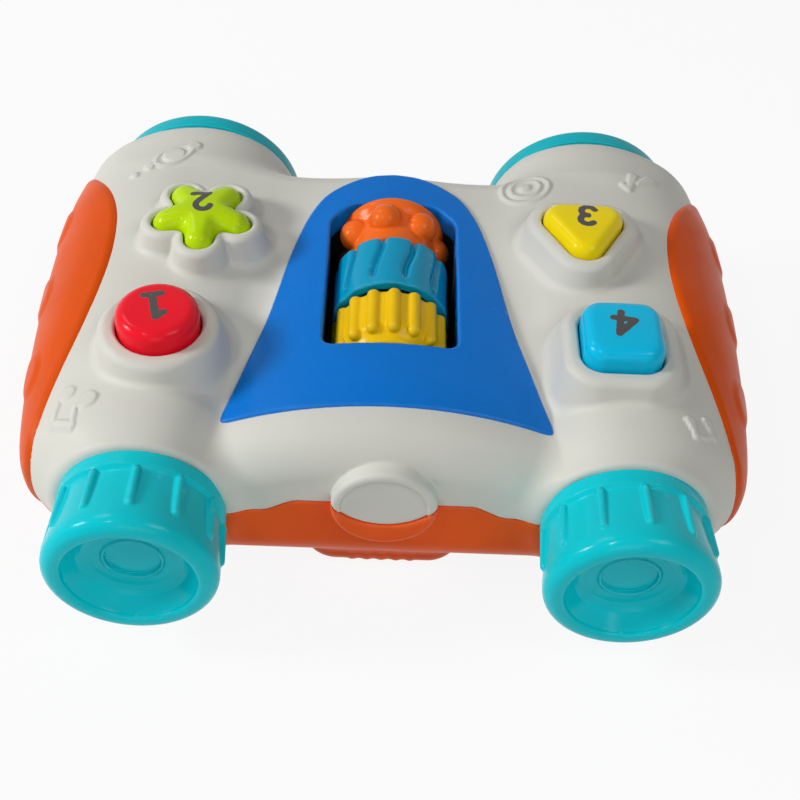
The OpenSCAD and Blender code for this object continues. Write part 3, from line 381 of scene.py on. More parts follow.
def surface_net(sdf, low, high, cell):
    """Quads on the zero surface of a distance field, drawn onto it, with the field's normals."""
    low = np.asarray(low, float)
    n = np.ceil((np.asarray(high, float) - low) / cell).astype(int) + 1
    ax = [low[i] + cell * np.arange(n[i]) for i in range(3)]
    field = sdf(ax[0][:, None, None], ax[1][None, :, None], ax[2][None, None, :])
    f = np.broadcast_to(field, n).astype(np.float32)
    s = f < 0
    m = n - 1
    total = np.zeros(m, np.uint8)
    corners = [(i, j, k) for i in (0, 1) for j in (0, 1) for k in (0, 1)]
    for i, j, k in corners:
        total += s[i:m[0] + i, j:m[1] + j, k:m[2] + k]
    active = (total > 0) & (total < 8)
    cells = np.argwhere(active)
    index = np.full(m, -1, np.int64)
    index[active] = np.arange(len(cells))
    place = np.zeros((len(cells), 3))
    hits = np.zeros(len(cells))
    for a in corners:
        for axis in range(3):
            if a[axis]:
                continue
            b = list(a)
            b[axis] = 1
            fa = f[cells[:, 0] + a[0], cells[:, 1] + a[1], cells[:, 2] + a[2]]
            fb = f[cells[:, 0] + b[0], cells[:, 1] + b[1], cells[:, 2] + b[2]]
            cross = (fa < 0) != (fb < 0)
            t = np.where(cross, fa / np.where(cross, fa - fb, 1), 0)
            spot = np.tile(np.array(a, float), (len(cells), 1))
            spot[:, axis] += t
            place[cross] += spot[cross]
            hits[cross] += 1
    verts = (cells + place / hits[:, None]) * cell + low
    quads = []
    for axis in range(3):
        b, c = (axis + 1) % 3, (axis + 2) % 3
        start = [slice(None)] * 3
        start[axis], start[b], start[c] = slice(0, m[axis]), slice(1, m[b]), slice(1, m[c])
        end = list(start)
        end[axis] = slice(1, n[axis])
        s0, s1 = s[tuple(start)], s[tuple(end)]
        for first in (True, False):
            pts = np.argwhere((s0 != s1) & (s0 == first))
            pts[:, b] += 1
            pts[:, c] += 1
            ring = []
            for db, dc in ((1, 1), (0, 1), (0, 0), (1, 0)):
                q = pts.copy()
                q[:, b] -= db
                q[:, c] -= dc
                ring.append(index[q[:, 0], q[:, 1], q[:, 2]])
            quad = np.stack(ring, 1)
            quads.append(quad if first else quad[:, ::-1])
    faces = np.vstack(quads)

    def gradient(p):
        g = np.empty_like(p)
        for i in range(3):
            q, r = p.copy(), p.copy()
            q[:, i] += SLOPE_STEP
            r[:, i] -= SLOPE_STEP
            g[:, i] = (sdf(*q.T) - sdf(*r.T)) / (2 * SLOPE_STEP)
        return g

    for _ in range(PULLS):
        g = gradient(verts)
        pull = g * (sdf(*verts.T) / np.maximum((g * g).sum(1), 0.2))[:, None]
        length = np.linalg.norm(pull, axis=1, keepdims=True)
        verts = verts - pull * np.minimum(1, 0.5 * cell / np.maximum(length, 1e-9))
    g = gradient(verts)
    return verts, faces, g / np.maximum(np.linalg.norm(g, axis=1, keepdims=True), 1e-9)


def add_mesh(name, verts, faces, normals=None):
    """A mesh object from points in the casing frame."""
    mesh = bpy.data.meshes.new(name)
    co = ((np.asarray(verts) + CASING_ORIGIN) * MM).astype(np.float32)
    corners = np.asarray(faces, np.int32)
    starts = np.arange(0, corners.size, corners.shape[1], dtype=np.int32)
    mesh.vertices.add(len(co))
    mesh.vertices.foreach_set("co", co.ravel())
    mesh.loops.add(corners.size)
    mesh.loops.foreach_set("vertex_index", corners.ravel())
    mesh.polygons.add(len(corners))
    mesh.polygons.foreach_set("loop_start", starts)
    mesh.update(calc_edges=True)
    mesh.validate()
    mesh.polygons.foreach_set("use_smooth", np.ones(len(mesh.polygons), bool))
    if normals is not None and len(mesh.vertices) == len(co):
        mesh.normals_split_custom_set_from_vertices(normals.astype(np.float32))
    obj = bpy.data.objects.new(name, mesh)
    bpy.context.scene.collection.objects.link(obj)
    return obj


def solid(name, sdf, low, high, cell):
    return add_mesh(name, *surface_net(sdf, low, high, cell * COARSE))


def lathe(name, outline, x, turns=128):
    """A closed outline of radius and place along Y, turned about a line along Y."""
    p = np.asarray(outline, float)
    n = len(p)
    a = np.arange(turns) * 2 * math.pi / turns
    verts = np.stack([x + np.outer(np.cos(a), p[:, 0]), np.tile(p[:, 1], (turns, 1)),
                      np.outer(np.sin(a), p[:, 0])], -1).reshape(-1, 3)
    i, j = np.meshgrid(np.arange(turns), np.arange(n), indexing="ij")
    i2, j2 = (i + 1) % turns, (j + 1) % n
    faces = np.stack([i * n + j, i * n + j2, i2 * n + j2, i2 * n + j], -1).reshape(-1, 4)
    return add_mesh(name, verts, faces)


def finish_piece(obj, body, slot, *nodes):
    """Gives a piece the material of its slot and its body, and hides the CAD nodes it stands for.
    """
    obj.data.materials.append(LOOK[slot])
    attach(obj, body)
    if nodes:
        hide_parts(*nodes)


PLATE_SIDE = np.vstack([PLATE_HALF[0], curve_through(PLATE_HALF, PLATE_STEPS)[PLATE_STEPS:]])
plate_flat = Outline(filleted(
    np.vstack([PLATE_SIDE, PLATE_SIDE[:-1][::-1] * [-1, 1]]),
    [PLATE_CORNER] + [0] * (2 * len(PLATE_SIDE) - 3) + [PLATE_CORNER]))
grip_flat = Outline(curve_through(GRIP_EDGE, 5, closed=True))


def crest(y):
    """Height of the pods' tops."""
    return CREST_FRONT + CREST_RISE * np.clip(y / BODY_LEN, 0, 1)


def arch(x):
    """Height of the arched middle."""
    return ARCH_TOP - ARCH_R + np.sqrt(ARCH_R ** 2 - np.minimum(np.abs(x), ARCH_REACH) ** 2)


def top_height(x, y):
    """Top of the casing between the pods' crests: pod flanks, valleys and the arched middle."""
    reach = FLANK_REACH * np.exp(FLANK_GROWTH * np.clip(y, -4, BRIDGE_BACK))
    s = np.clip((POD_CREST_X - np.abs(x)) / reach, 0, 0.995)
    flank = crest(y) * (1 - s ** FLANK_POWER) ** (1 / FLANK_POWER)
    return smax(flank, arch(x), VALLEY_BLEND)


def tube_gap(x, z):
    """Negative inside the tubes, open towards the outside of the casing."""
    dx = np.abs(x) - EYE_X
    return super_oval(dx, z, np.where(dx < 0, TUBE_INNER, TUBE_OUTER),
                      np.where(z > 0, TUBE_UP, TUBE_DOWN), TUBE_POWER)


def rods_y(x, z, cx, r):
    """Distance from a pair of rods along Y."""
    return circle(np.abs(x) - cx, z, r)


def casing_plain(x, y, z):
    """Casing without collars, boss, grips or cuts."""
    dx = np.abs(x) - POD_CREST_X
    wide = np.polyval(WIDTH_FIT, np.clip(y, -4, 116)) - POD_CREST_X
    side = super_oval(np.maximum(dx, 0), z, wide, np.where(z > 0, crest(y), BELLY), POD_POWER)
    step = 0.5
    slope = (top_height(x + step, y) - top_height(x - step, y)) / (2 * step)
    top = (z - top_height(x, y)) / np.sqrt(1 + slope * slope)
    d = np.where(dx > 0, side, np.where(z > 0, top, -z - BELLY))
    d = rmax(d, rmin(y - BRIDGE_BACK, tube_gap(x, z), NOSE_FILLET), NOSE_ROUND)
    d = rmax(d, -y + 0 * d, FRONT_ROUND)
    d = rmax(d, y - BODY_LEN + 0 * d, BACK_ROUND)
    cup_stub = rmax(rods_y(x, z - CUP_Z, CUP_X, CUP_STUB_R), -y, STUB_ROUND)
    cup_stub = rmax(cup_stub, y - CUP_STUB_BACK, STUB_ROUND)
    eye_stub = rmax(rods_y(x, z, EYE_X, EYE_STUB_R), y - BODY_LEN, STUB_ROUND)
    eye_stub = rmax(eye_stub, EYE_STUB_FRONT - y, STUB_ROUND)
    return smin(smin(d, cup_stub, CUP_STUB_BLEND), eye_stub, EYE_STUB_BLEND)


def section_place(x, z):
    """Length along the casing's section, from its widest line upwards."""
    return np.arctan2(z, np.maximum(np.abs(x) - POD_CREST_X, 0.01)) * GRIP_ARM


def grip_region(x, y, z):
    return grip_flat(y, section_place(x, z))


def split_at(x):
    """Height of the seam between the shells."""
    ax = np.abs(x)
    return SEAM_Z + SEAM_RISE * ease((28.5 - ax) / 9.0) - SEAM_DROP * ease((ax - 56.0) / 14.0)


def seam(x, z):
    """Negative above the seam."""
    slope = (split_at(x + 0.5) - split_at(x - 0.5))
    return (split_at(x) - z) / np.sqrt(1 + slope * slope)


def star_flat(x, y):
    arms = (bar(x, y, (0, 0), (STAR_REACH * math.cos(a), STAR_REACH * math.sin(a)),
                STAR_ROOT, STAR_TIP) for a in STAR_ANGLES)
    return functools.reduce(lambda d, s: smin(d, s, STAR_BLEND), arms)


def triangle_flat(x, y, grow=0.0):
    corners = arc(0.0, 0.0, TRIANGLE_REACH, -90, 150, 3)
    return polygon(x, y, corners) - TRIANGLE_CORNER - grow


def cap_flat(kind, x, y):
    """Outline of a button's cap about its own centre."""
    if kind == "red":
        return circle(x, y, RED_R)
    if kind == "square":
        return box2(x, y, SQUARE_HW, SQUARE_HW, SQUARE_CORNER)
    if kind == "triangle":
        return triangle_flat(x, y)
    return star_flat(x, y)


def collar_flat(kind, x, y):
    """Outline of a collar's top about its button's centre."""
    if kind == "red":
        return circle(x, y, RED_COLLAR_R)
    if kind == "square":
        return box2(x, y, SQUARE_COLLAR_HW, SQUARE_COLLAR_HW, SQUARE_COLLAR_CORNER)
    if kind == "triangle":
        return triangle_flat(x, y, TRIANGLE_COLLAR)
    d = circle(x, y, FLOWER_CORE)
    for a in STAR_ANGLES:
        petal = circle(x - PETAL_AT * math.cos(a), y - PETAL_AT * math.sin(a), PETAL_R)
        d = smin(d, petal, PETAL_BLEND)
    return d


def collars(x, y, z):
    """Raised collars about the buttons, with leaning walls."""
    parts = []
    for kind, (cx, cy) in BUTTONS.items():
        top, lean = COLLAR_Z[kind], COLLAR_LEAN[kind]
        flat = collar_flat(kind, x - cx, y - cy) - lean * (top - z)
        wall = flat / math.hypot(1.0, lean)
        parts.append(np.maximum(rmax(wall, z - top, COLLAR_ROUND), top - COLLAR_DEPTH - z))
    return union(parts)


def button_holes(x, y, z):
    """Holes for the caps, wider below for their flanges."""
    parts = []
    for kind, (cx, cy) in BUTTONS.items():
        flat = cap_flat(kind, x - cx, y - cy) - BUTTON_GAP
        wide = np.maximum(flat - FLANGE_ROOM, z - (COLLAR_Z[kind] - FLANGE_STOP))
        parts.append(np.maximum(np.minimum(flat + 0 * z, wide), 12.0 - z))
    return union(parts)


def icons(x, y):
    """Raised signs on the white casing, as one flat drawing."""
    u, v = turned(x, y, (-58.6, 98.2), 37)
    ring = np.abs(circle(u / 1.35, v / 0.75, 4.0)) * 0.8 - 0.45
    ball = circle(u, v, 3.0)
    u, v = turned(x, y, (34.5, 91.7), 28)
    r = circle(u / 1.25, v, 0.0)
    rings = [r - 1.3, np.abs(r - 3.2) - 0.5, np.abs(r - 5.2) - 0.5]
    dots = [circle(x - cx, y - cy, r) for cx, cy, r in SIGN_DOTS]
    return union([ball, ring] + dots + rings + [bar(x, y, *one) for one in SIGN_BARS])


def emboss(x, y, z):
    return np.where(z > 8, SIGN_RISE * ease(0.5 - icons(x, y) / 1.1), 0.0)


def boss(x, y, z):
    """Round boss on the front wall."""
    r = circle(x, z - BOSS_Z, BOSS_R)
    return np.maximum(rmax(r, BOSS_FRONT - y, BOSS_ROUND), y - BOSS_BACK)


def boss_cap(x, z):
    """Negative in the boss's white part."""
    return circle(x, z - BOSS_CAP_Z, BOSS_CAP_R)


def posts(x, y, places, r):
    """Upright round posts at places on both sides."""
    return union(circle(np.abs(x) - px, y - py, r) for px, py in places)


def cavity(x, y, z, base):
    """Inside of the casing, kept deeper under the plate and the grips."""
    under_plate = np.where(z > 0, ease((3.5 - plate_flat(x, y)) / 2.5), 0)
    under_grip = ease((3.5 - grip_region(x, y, z)) / 2.5)
    return base + WALL + 2.2 * under_plate + 3.0 * under_grip


def cup_bearing(x, y, z):
    ring = np.maximum(rods_y(x, z - CUP_Z, CUP_X, BEARING_R), y - BEARING_BACK)
    return np.maximum(ring, BEARING_FRONT - y)


def through_holes(x, y, z):
    """Bores of the cups' bearings and seats of the eyepieces."""
    hub = np.maximum(rods_y(x, z - CUP_Z, CUP_X, HUB_R), y - HUB_BACK)
    eye = np.maximum(rods_y(x, z, EYE_X, EYE_SEAT_R), EYE_SEAT_FRONT - y)
    return np.minimum(hub, eye)


def grip_recess(x, y, z, base):
    return np.maximum(grip_region(x, y, z) + 1.6, -(base + GRIP_DEPTH))


def upper_shell(x, y, z):
    base = casing_plain(x, y, z)
    tops = collars(x, y, z)
    outer = rmin(base - emboss(x, y, z), tops, COLLAR_FILLET)
    d = np.maximum(outer, -cavity(x, y, z, base))
    tubes = np.maximum(posts(x, y, SCREW_PLACES, UPPER_TUBE_R), base + 0.5)
    stands = np.maximum(posts(x, y, POST_PLACES, POST_R), 8.0 - z)
    stands = np.maximum(stands, base + 0.5)
    d = union([d, tubes, stands, cup_bearing(x, y, z), np.maximum(tops, z - 23.3)])
    d = rmax(d, seam(x, z) + SEAM_GAP, SEAM_ROUND)
    face = np.maximum(circle(x, z - BOSS_Z, BOSS_FACE_R), y - BOSS_FACE_Y)
    cap = rmax(cut(boss(x, y, z), face, 0.3), boss_cap(x, z) + BOSS_CAP_GAP, BOSS_CAP_ROUND)
    cap = np.maximum(cap, np.minimum(y + 0.1, seam(x, z) + SEAM_GAP))
    d = rmin(d, cap, BOSS_FILLET)
    d = cut(d, np.maximum(plate_flat(x, y) + 0.6, arch(x) - PLATE_T + 0.15 - z), 0.2)
    d = cut(d, np.maximum(box2(x, y - BAY_Y, CRADLE_HX, CRADLE_HY, 0.5), CRADLE_FLOOR - z), 0.3)
    d = cut(d, grip_recess(x, y, z, base), 0.2)
    d = cut(d, button_holes(x, y, z), 0.8)
    d = cut(d, np.maximum(posts(x, y, SCREW_PLACES, PILOT_R), z - 9.0), 0.1)
    d = cut(d, np.maximum(posts(x, y, POST_PLACES, PILOT_R), z - 17.0), 0.1)
    return cut(d, through_holes(x, y, z), 0.3)


def bulge(x, y, z):
    """Battery bulge under the casing, with finger ridges at its front."""
    mid, half = (BULGE_Y0 + BULGE_Y1) / 2, (BULGE_Y1 - BULGE_Y0) / 2
    flat = box2(x, y - mid, BULGE_HX, half, 8.0 + 1.0 * ease((mid - y) / 20.0))
    near = ease((13.0 - y) / 5.0) * ease((8.6 - np.abs(x)) / 1.2) * ease((z + 26.0) / 2.5)
    ridge = RIDGE_RISE * near * (0.5 + 0.5 * np.cos(2 * math.pi * x / RIDGE_PITCH))
    foot_round = 2.2 + 3.8 * ease((15.0 - y) / 6.0)
    return np.maximum(rmax(flat, BULGE_FOOT - z, foot_round) - ridge, z + 5.0)


def head_seats():
    """Heights of the screws' heads under the casing, read from their CAD node."""
    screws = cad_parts["shell_screws"].data
    co = np.array([v.co for v in screws.vertices]) / MM - CASING_ORIGIN
    seats = []
    for px, py in SCREW_PLACES:
        near = (np.abs(np.abs(co[:, 0]) - px) < 4) & (np.abs(co[:, 1] - py) < 4)
        seats.append(co[near][:, 2].min() + HEAD_T)
    return seats


SEATS = head_seats()


def grille(x, y):
    """Speaker holes: one in the middle and two rings."""
    parts = []
    for ring in range(3):
        out = GRILLE_PITCH * ring
        for i in range(max(1, 6 * ring)):
            a = math.radians(60 * i / max(ring, 1))
            parts.append(circle(x + SIDE_X - out * math.cos(a), y - SIDE_Y - out * math.sin(a),
                                GRILLE_R))
    return union(parts)


def lower_shell(x, y, z):
    base = casing_plain(x, y, z)
    hump = bulge(x, y, z)
    outer = rmin(base, hump, BULGE_FILLET)
    d = np.maximum(outer, -np.minimum(cavity(x, y, z, base), hump + WALL))
    tubes = np.maximum(posts(x, y, SCREW_PLACES, LOWER_TUBE_R), base + 0.5)
    door_frame = block(x, y, z, DOOR_HX + BOX_WALL, DOOR_Y0 - BOX_WALL, DOOR_Y1 + BOX_WALL,
                       BULGE_FOOT + 0.6, -22.2)
    box = block(x, y, z, BOX_HX + BOX_WALL, BOX_Y0 - BOX_WALL, BOX_Y1 + BOX_WALL,
                -24.8, BOX_TOP + BOX_WALL)
    d = union([d, tubes, cup_bearing(x, y, z), door_frame, box])
    d = rmax(d, -seam(x, z) + SEAM_GAP, SEAM_ROUND)
    low = rmax(boss(x, y, z), -boss_cap(x, z) + BOSS_CAP_GAP, BOSS_CAP_ROUND)
    low = np.maximum(low, np.minimum(y + 0.1, -seam(x, z) + SEAM_GAP))
    d = rmin(d, low, BOSS_FILLET)
    d = cut(d, grip_recess(x, y, z, base), 0.2)
    d = cut(d, block(x, y, z, DOOR_HX + DOOR_GAP, DOOR_Y0 - DOOR_GAP, DOOR_Y1 + DOOR_GAP,
                     -30.0, -23.8), 0.5)
    d = cut(d, block(x, y, z, BOX_HX, BOX_Y0, BOX_Y1, -30.0, BOX_TOP), 0.3)
    for place, seat in zip(SCREW_PLACES, SEATS):
        d = cut(d, np.maximum(posts(x, y, [place], HEAD_R), z - seat), 0.3)
    d = cut(d, posts(x, y, SCREW_PLACES, CLEARANCE_R), 0.1)
    d = cut(d, np.maximum(grille(x, y), z + 14.0), 0.35)
    d = cut(d, np.maximum(box2(x - SIDE_X, y - SIDE_Y, 5.0, 2.2, 0.6), z + 14.0), 0.35)
    return cut(d, through_holes(x, y, z), 0.3)


def grip_pad(x, y, z):
    """A side grip, a little proud of the casing, with three finger ovals."""
    base = casing_plain(x, y, z)
    region = grip_region(x, y, z)
    along = section_place(x, z)
    rise = 0
    for cy, cs in GRIP_BUMPS:
        oval = circle((y - cy) / BUMP_STRETCH, along - cs, BUMP_R)
        rise = np.maximum(rise, BUMP_RISE * ease(0.5 - oval / 2.0))
    crown = 0.5 * ease(-region / 9.0)
    cover = rmax(base - GRIP_PROUD - crown - rise, region, 1.9)
    return rmax(cover, -(base + np.where(region < -1.8, GRIP_DEPTH - 0.15, GRIP_LIP)), 0.3)


def face_plate(x, y, z):
    """Blue plate that follows the casing's top, with a lip over its edge and a slot."""
    height = top_height(x, y)
    flat = plate_flat(x, y)
    d = rmax(flat, z - height - PLATE_PROUD, 0.75)
    under = np.where(flat < -0.8, arch(x) - PLATE_T + PLATE_PROUD, height - 0.5)
    d = np.maximum(d, under - z)
    bay = box2(x, y - BAY_Y - 0.4, BAY_HX, BAY_HY - 0.4, 2.8)
    corner = (np.abs(x) - BAY_HX + (y - (BAY_Y + BAY_HY)) + 5.4) * 0.7071
    slot = rmax(bay, corner, 1.5)
    skirt = np.maximum(np.maximum(slot - 1.4, 18.5 - z),
                       np.maximum(z - arch(x), 6.8 - np.abs(x)))
    return cut(np.minimum(d, skirt), slot, 0.9)


def roller_polar(x, y, z, name):
    """Radius, angle from the top and place along the axle."""
    u, v = x, z - AXLE_Z
    return circle(u, v, 0.0), np.arctan2(u, v), y - ROLLER_Y[name]


def bore(d, r):
    return cut(d, r - AXLE_HOLE_R, 0.15)


def yellow_roller(x, y, z):
    """Roller with straight ribs, narrower at its near end."""
    r, a, t = roller_polar(x, y, z, "yellow")
    half = ROLLER_HW["yellow"]
    taper = YELLOW_TAPER * ease((-t - 2.6) / 4.9)
    core = rmax(rmax(r - YELLOW_CORE + taper, t - half, 0.8), -t - half, 0.8)
    f = folded(a, YELLOW_RIBS, 0.05)
    u, v = r * np.sin(f), r * np.cos(f)
    k = np.clip(t, -half + 3.4, half + 4.0)
    rib = np.sqrt(u * u + (v - YELLOW_RIB_AT) ** 2 + (t - k) ** 2) - YELLOW_RIB_R
    return bore(smin(core, rmax(rib, t - half, 0.7), 0.5), r)


def blue_roller(x, y, z):
    """Roller with wavy grooves and a hollow near end."""
    r, a, t = roller_polar(x, y, z, "blue")
    half = ROLLER_HW["blue"]
    f = np.abs(folded(a - 0.010 * t - 0.03 * np.sin(0.4 * t), BLUE_LOBES, 0.027))
    groove = (math.pi / BLUE_LOBES - f) * ROLLER_R
    depth = 1.1 * ease((t + half + 1.0) / 3.0)
    swell = ROLLER_R + 0.3 - 0.3 * (f * BLUE_LOBES / math.pi) ** 2
    swell = swell - depth * np.exp(-(groove / 0.8) ** 2)
    d = rmax(rmax((r - swell) * 0.85, t - half, 0.9), -t - half - BLUE_NEAR, 0.5)
    return bore(cut(d, np.maximum(r - BLUE_HOLLOW_R, t + half - 4.0), 0.3), r)


def orange_roller(x, y, z):
    """Roller with a ring of balls."""
    r, a, t = roller_polar(x, y, z, "orange")
    flare = ORANGE_FLARE * ease((t - 1.0) / 4.6)
    core = rmax(r - ORANGE_CORE - flare, np.abs(t) - ROLLER_HW["orange"], 1.2)
    f = folded(a, ORANGE_BALLS, -0.192)
    u, v = r * np.sin(f), r * np.cos(f)
    ball = np.sqrt(u * u + (v - BALL_AT) ** 2 + (t - 0.6) ** 2) - BALL_R
    return bore(smin(core, ball, 0.6), r)


def button(kind):
    """Field of a button: domed cap, flange, hollow and stem."""
    cx, cy = BUTTONS[kind]
    foot = COLLAR_Z[kind] - CAP_DEPTH

    def sdf(x, y, z):
        u, v = x - cx, y - cy
        flat = cap_flat(kind, u, v)
        top = z - BUTTON_TOP[kind] + BUTTON_FALL[kind] * (u * u + v * v)
        cap = np.maximum(rmax(flat, top, BUTTON_ROUND[kind]), foot - z)
        flange = np.maximum(np.maximum(flat - FLANGE_OUT, z - foot - FLANGE_T), foot - z)
        hollow = np.maximum(np.maximum(flat + CAP_WALL, z - foot - CAP_HOLLOW), foot - 3.0 - z)
        stem = np.maximum(circle(u, v, STEM_R), np.maximum(STEM_FOOT - z, z - foot - STEM_TOP))
        return np.minimum(cut(np.minimum(cap, flange), hollow, 0.3), stem)
    return sdf


NUMERALS = {
    "red": [[(-1.2, 2.4), (0.6, 3.6), (0.6, -3.6)], [(-1.4, -3.6), (2.4, -3.6)]],
    "star": [arc(0.0, 1.6, 2.0, 165, -45, 9) + [(-2.1, -3.6), (2.3, -3.6)]],
    "triangle": [arc(-0.1, 1.75, 1.85, 150, -90, 9) + arc(-0.1, -1.75, 1.85, 90, -150, 9)],
    "square": [[(1.2, -3.6), (1.2, 3.6), (-2.2, -1.4), (2.8, -1.4)]],
}
NUMERAL_SIZE = {"red": 1.05, "star": 0.9, "triangle": 0.95, "square": 1.0}
NUMERAL_TURN = {"red": 14.0, "star": 10.0, "triangle": -8.0, "square": -8.0}
NUMERAL_SHIFT = {"red": (0.0, 0.6), "star": (0.0, 1.2), "triangle": (0.6, 1.7),
                 "square": (0.2, 0.8)}
STROKE_HALF = 0.92


def numeral(kind):
    """Field of a thin number that lies on a button's top."""
    cx, cy = BUTTONS[kind]
    sx, sy = NUMERAL_SHIFT[kind]
    cap = button(kind)
    size = NUMERAL_SIZE[kind]

    def sdf(x, y, z):
        u, v = turned(x, y, (cx + sx, cy + sy), 180.0 + NUMERAL_TURN[kind])
        flat = strokes(u / size, v / size, NUMERALS[kind], STROKE_HALF) * size
        skin = np.abs(cap(x, y, z) + 0.27) - 0.33
        return rmax(np.maximum(skin, 30.0 - z), flat, 0.04)
    return sdf


# Section of a front cup, as radius and place along Y: face, mouth, rim, wall, back and hub
CUP_BACK = -0.3
cup_section = Outline(np.vstack([
    [(-4.0, -15.0), (6.3, -15.0)], arc(6.6, -15.6, 0.4, 180, 360, 5)[1:-1],
    [(7.2, -15.5), (10.0, -15.6), (11.4, -16.0), (12.4, -16.7), (14.8, -20.2)],
    arc(15.9, -20.4, 1.1, 180, 270, 6), arc(16.6, -18.5, 3.0, 270, 360, 9),
    [(19.55, -16.9), (19.2, -14.3), (18.8, -11.4), (18.45, -8.3), (18.2, -5.4), (18.3, -4.9),
     (18.9, -4.3), (19.2, -4.0), (19.2, -0.8), (18.9, CUP_BACK), (17.2, CUP_BACK),
     (15.2, -10.5), (8.0, -10.5), (8.0, 6.3), (1.45, 6.3), (1.45, -10.5), (-4.0, -10.5)],
]), margin=6.0, step=0.05)
CUP_RIBS, CUP_RIB_R = 12, 0.95


def cup(x, y, z):
    """Left front cup; the right one is a copy."""
    u, w = x + CUP_X, z - CUP_Z
    r = circle(u, w, 0.0)
    d = cup_section(r, y)
    f = folded(np.arctan2(u, w), CUP_RIBS, math.radians(4.0))
    p, q = r * np.sin(f), r * np.cos(f)
    k = np.clip(y, -14.6, -5.4)
    rib = np.sqrt(p * p + (q - (18.6 - 0.06 * (y + 4.0))) ** 2 + (y - k) ** 2) - CUP_RIB_R
    return smin(d, rib, 0.6)


# Sections of an eyepiece's ring and lens, as radius and place along Y
EYE_RING = filleted(
    [(26.3, 112.1), (26.3, 117.3), (23.3, 117.3), (19.4, 112.8), (19.1, 110.0), (17.0, 110.0),
     (17.0, 107.6), (20.7, 107.6), (21.6, 109.7), (20.8, 109.7), (20.8, 112.1)],
    [0.5, 2.4, 1.5, 0.6, 0, 0.3, 0.3, 0.3, 0.2, 0, 0])
LENS = np.vstack([
    [(0.001, 110.1), (18.4, 110.1), (19.0, 110.5), (19.0, 110.9)],
    [(r, 110.95 + 0.95 * (1 - (r / 19.0) ** 2)) for r in np.linspace(18.4, 0.001, 14)]])


def battery_door(x, y, z):
    """Flat door with thumb grooves and a screw's seat."""
    mid, half = (DOOR_Y0 + DOOR_Y1) / 2, (DOOR_Y1 - DOOR_Y0) / 2
    flat = box2(x, y - mid, DOOR_HX, half, 1.2)
    d = rmax(rmax(flat, BULGE_FOOT - z, 0.7), z + 23.95, 0.3)
    groove = np.abs(np.mod(y - DOOR_Y0 + 1.3, 2.6) - 1.3) - 0.6
    groove = np.maximum(groove, np.maximum(np.abs(x) - 6.0, np.abs(y - 24.0) - 5.2))
    d = cut(d, np.maximum(groove, z + 26.5), 0.2)
    hole = circle(x, y - DOOR_SCREW_Y, 0.0)
    d = cut(d, np.maximum(hole - 2.85, z + 25.1), 0.25)
    return cut(d, hole - 1.55, 0.1)


def power_slider(x, y, z):
    """Flat pad inside the casing with a ribbed thumb piece."""
    u, v = x - SIDE_X + 2.0, y - SIDE_Y
    pad = rmax(box2(u, v, 8.0, 3.7, 0.5), np.abs(z + 16.85) - 0.64, 0.2)
    ribs = 0.35 * (0.5 + 0.5 * np.cos(2 * math.pi * u / 1.3)) * ease((-20.6 - z) / 0.3)
    nub = rmax(box2(u, v, 2.65, 1.88, 0.4), np.maximum(-21.4 + ribs - z, z + 16.3), 0.25)
    return np.minimum(pad, nub)


def linear(r, g, b):
    """Scene colour for a colour written in 0 to 255."""
    def one(c):
        c = c / 255
        return c / 12.92 if c <= 0.04045 else ((c + 0.055) / 1.055) ** 2.4
    return one(r), one(g), one(b), 1.0


def add(tree, kind, inputs=None, **settings):
    """A new node with its settings and its inputs' values."""
    node = tree.nodes.new(kind)
    for key, value in settings.items():
        setattr(node, key, value)
    for key, value in (inputs or {}).items():
        node.inputs[key].default_value = value
    return node


def noise(tree, coords, scale, detail, rough=0.55):
    n = add(tree, "ShaderNodeTexNoise", {"Scale": scale, "Detail": detail, "Roughness": rough})
    tree.links.new(coords, n.inputs["Vector"])
    return n.outputs["Fac"]


def ranged(tree, value, low, high, from_low=0.3, from_high=0.7):
    """Maps a value from one range to another; the default one suits noise."""
    m = add(tree, "ShaderNodeMapRange", {"From Min": from_low, "From Max": from_high,
                                         "To Min": low, "To Max": high})
    tree.links.new(value, m.inputs["Value"])
    return m.outputs["Result"]


def mixed(tree, factor, a, b):
    """Mix of two colours, each a fixed one or a socket."""
    m = add(tree, "ShaderNodeMix", data_type="RGBA")
    tree.links.new(factor, m.inputs["Factor"])
    for socket, colour in ((m.inputs[6], a), (m.inputs[7], b)):
        if isinstance(colour, tuple):
            socket.default_value = colour
        else:
            tree.links.new(colour, socket)
    return m.outputs[2]


def tint(colour, k):
    return tuple(min(1.0, c * k) for c in colour[:3]) + (1.0,)


# Level of reflections on plastics and on metals
GLOSS, METAL_GLOSS = 0.12, 0.5
# Scales of the noises, per metre
CLOUD_SCALE, SPECK_SCALE, WEAR_SCALE, SMEAR_SCALE = 42.0, 900.0, 260.0, 75.0


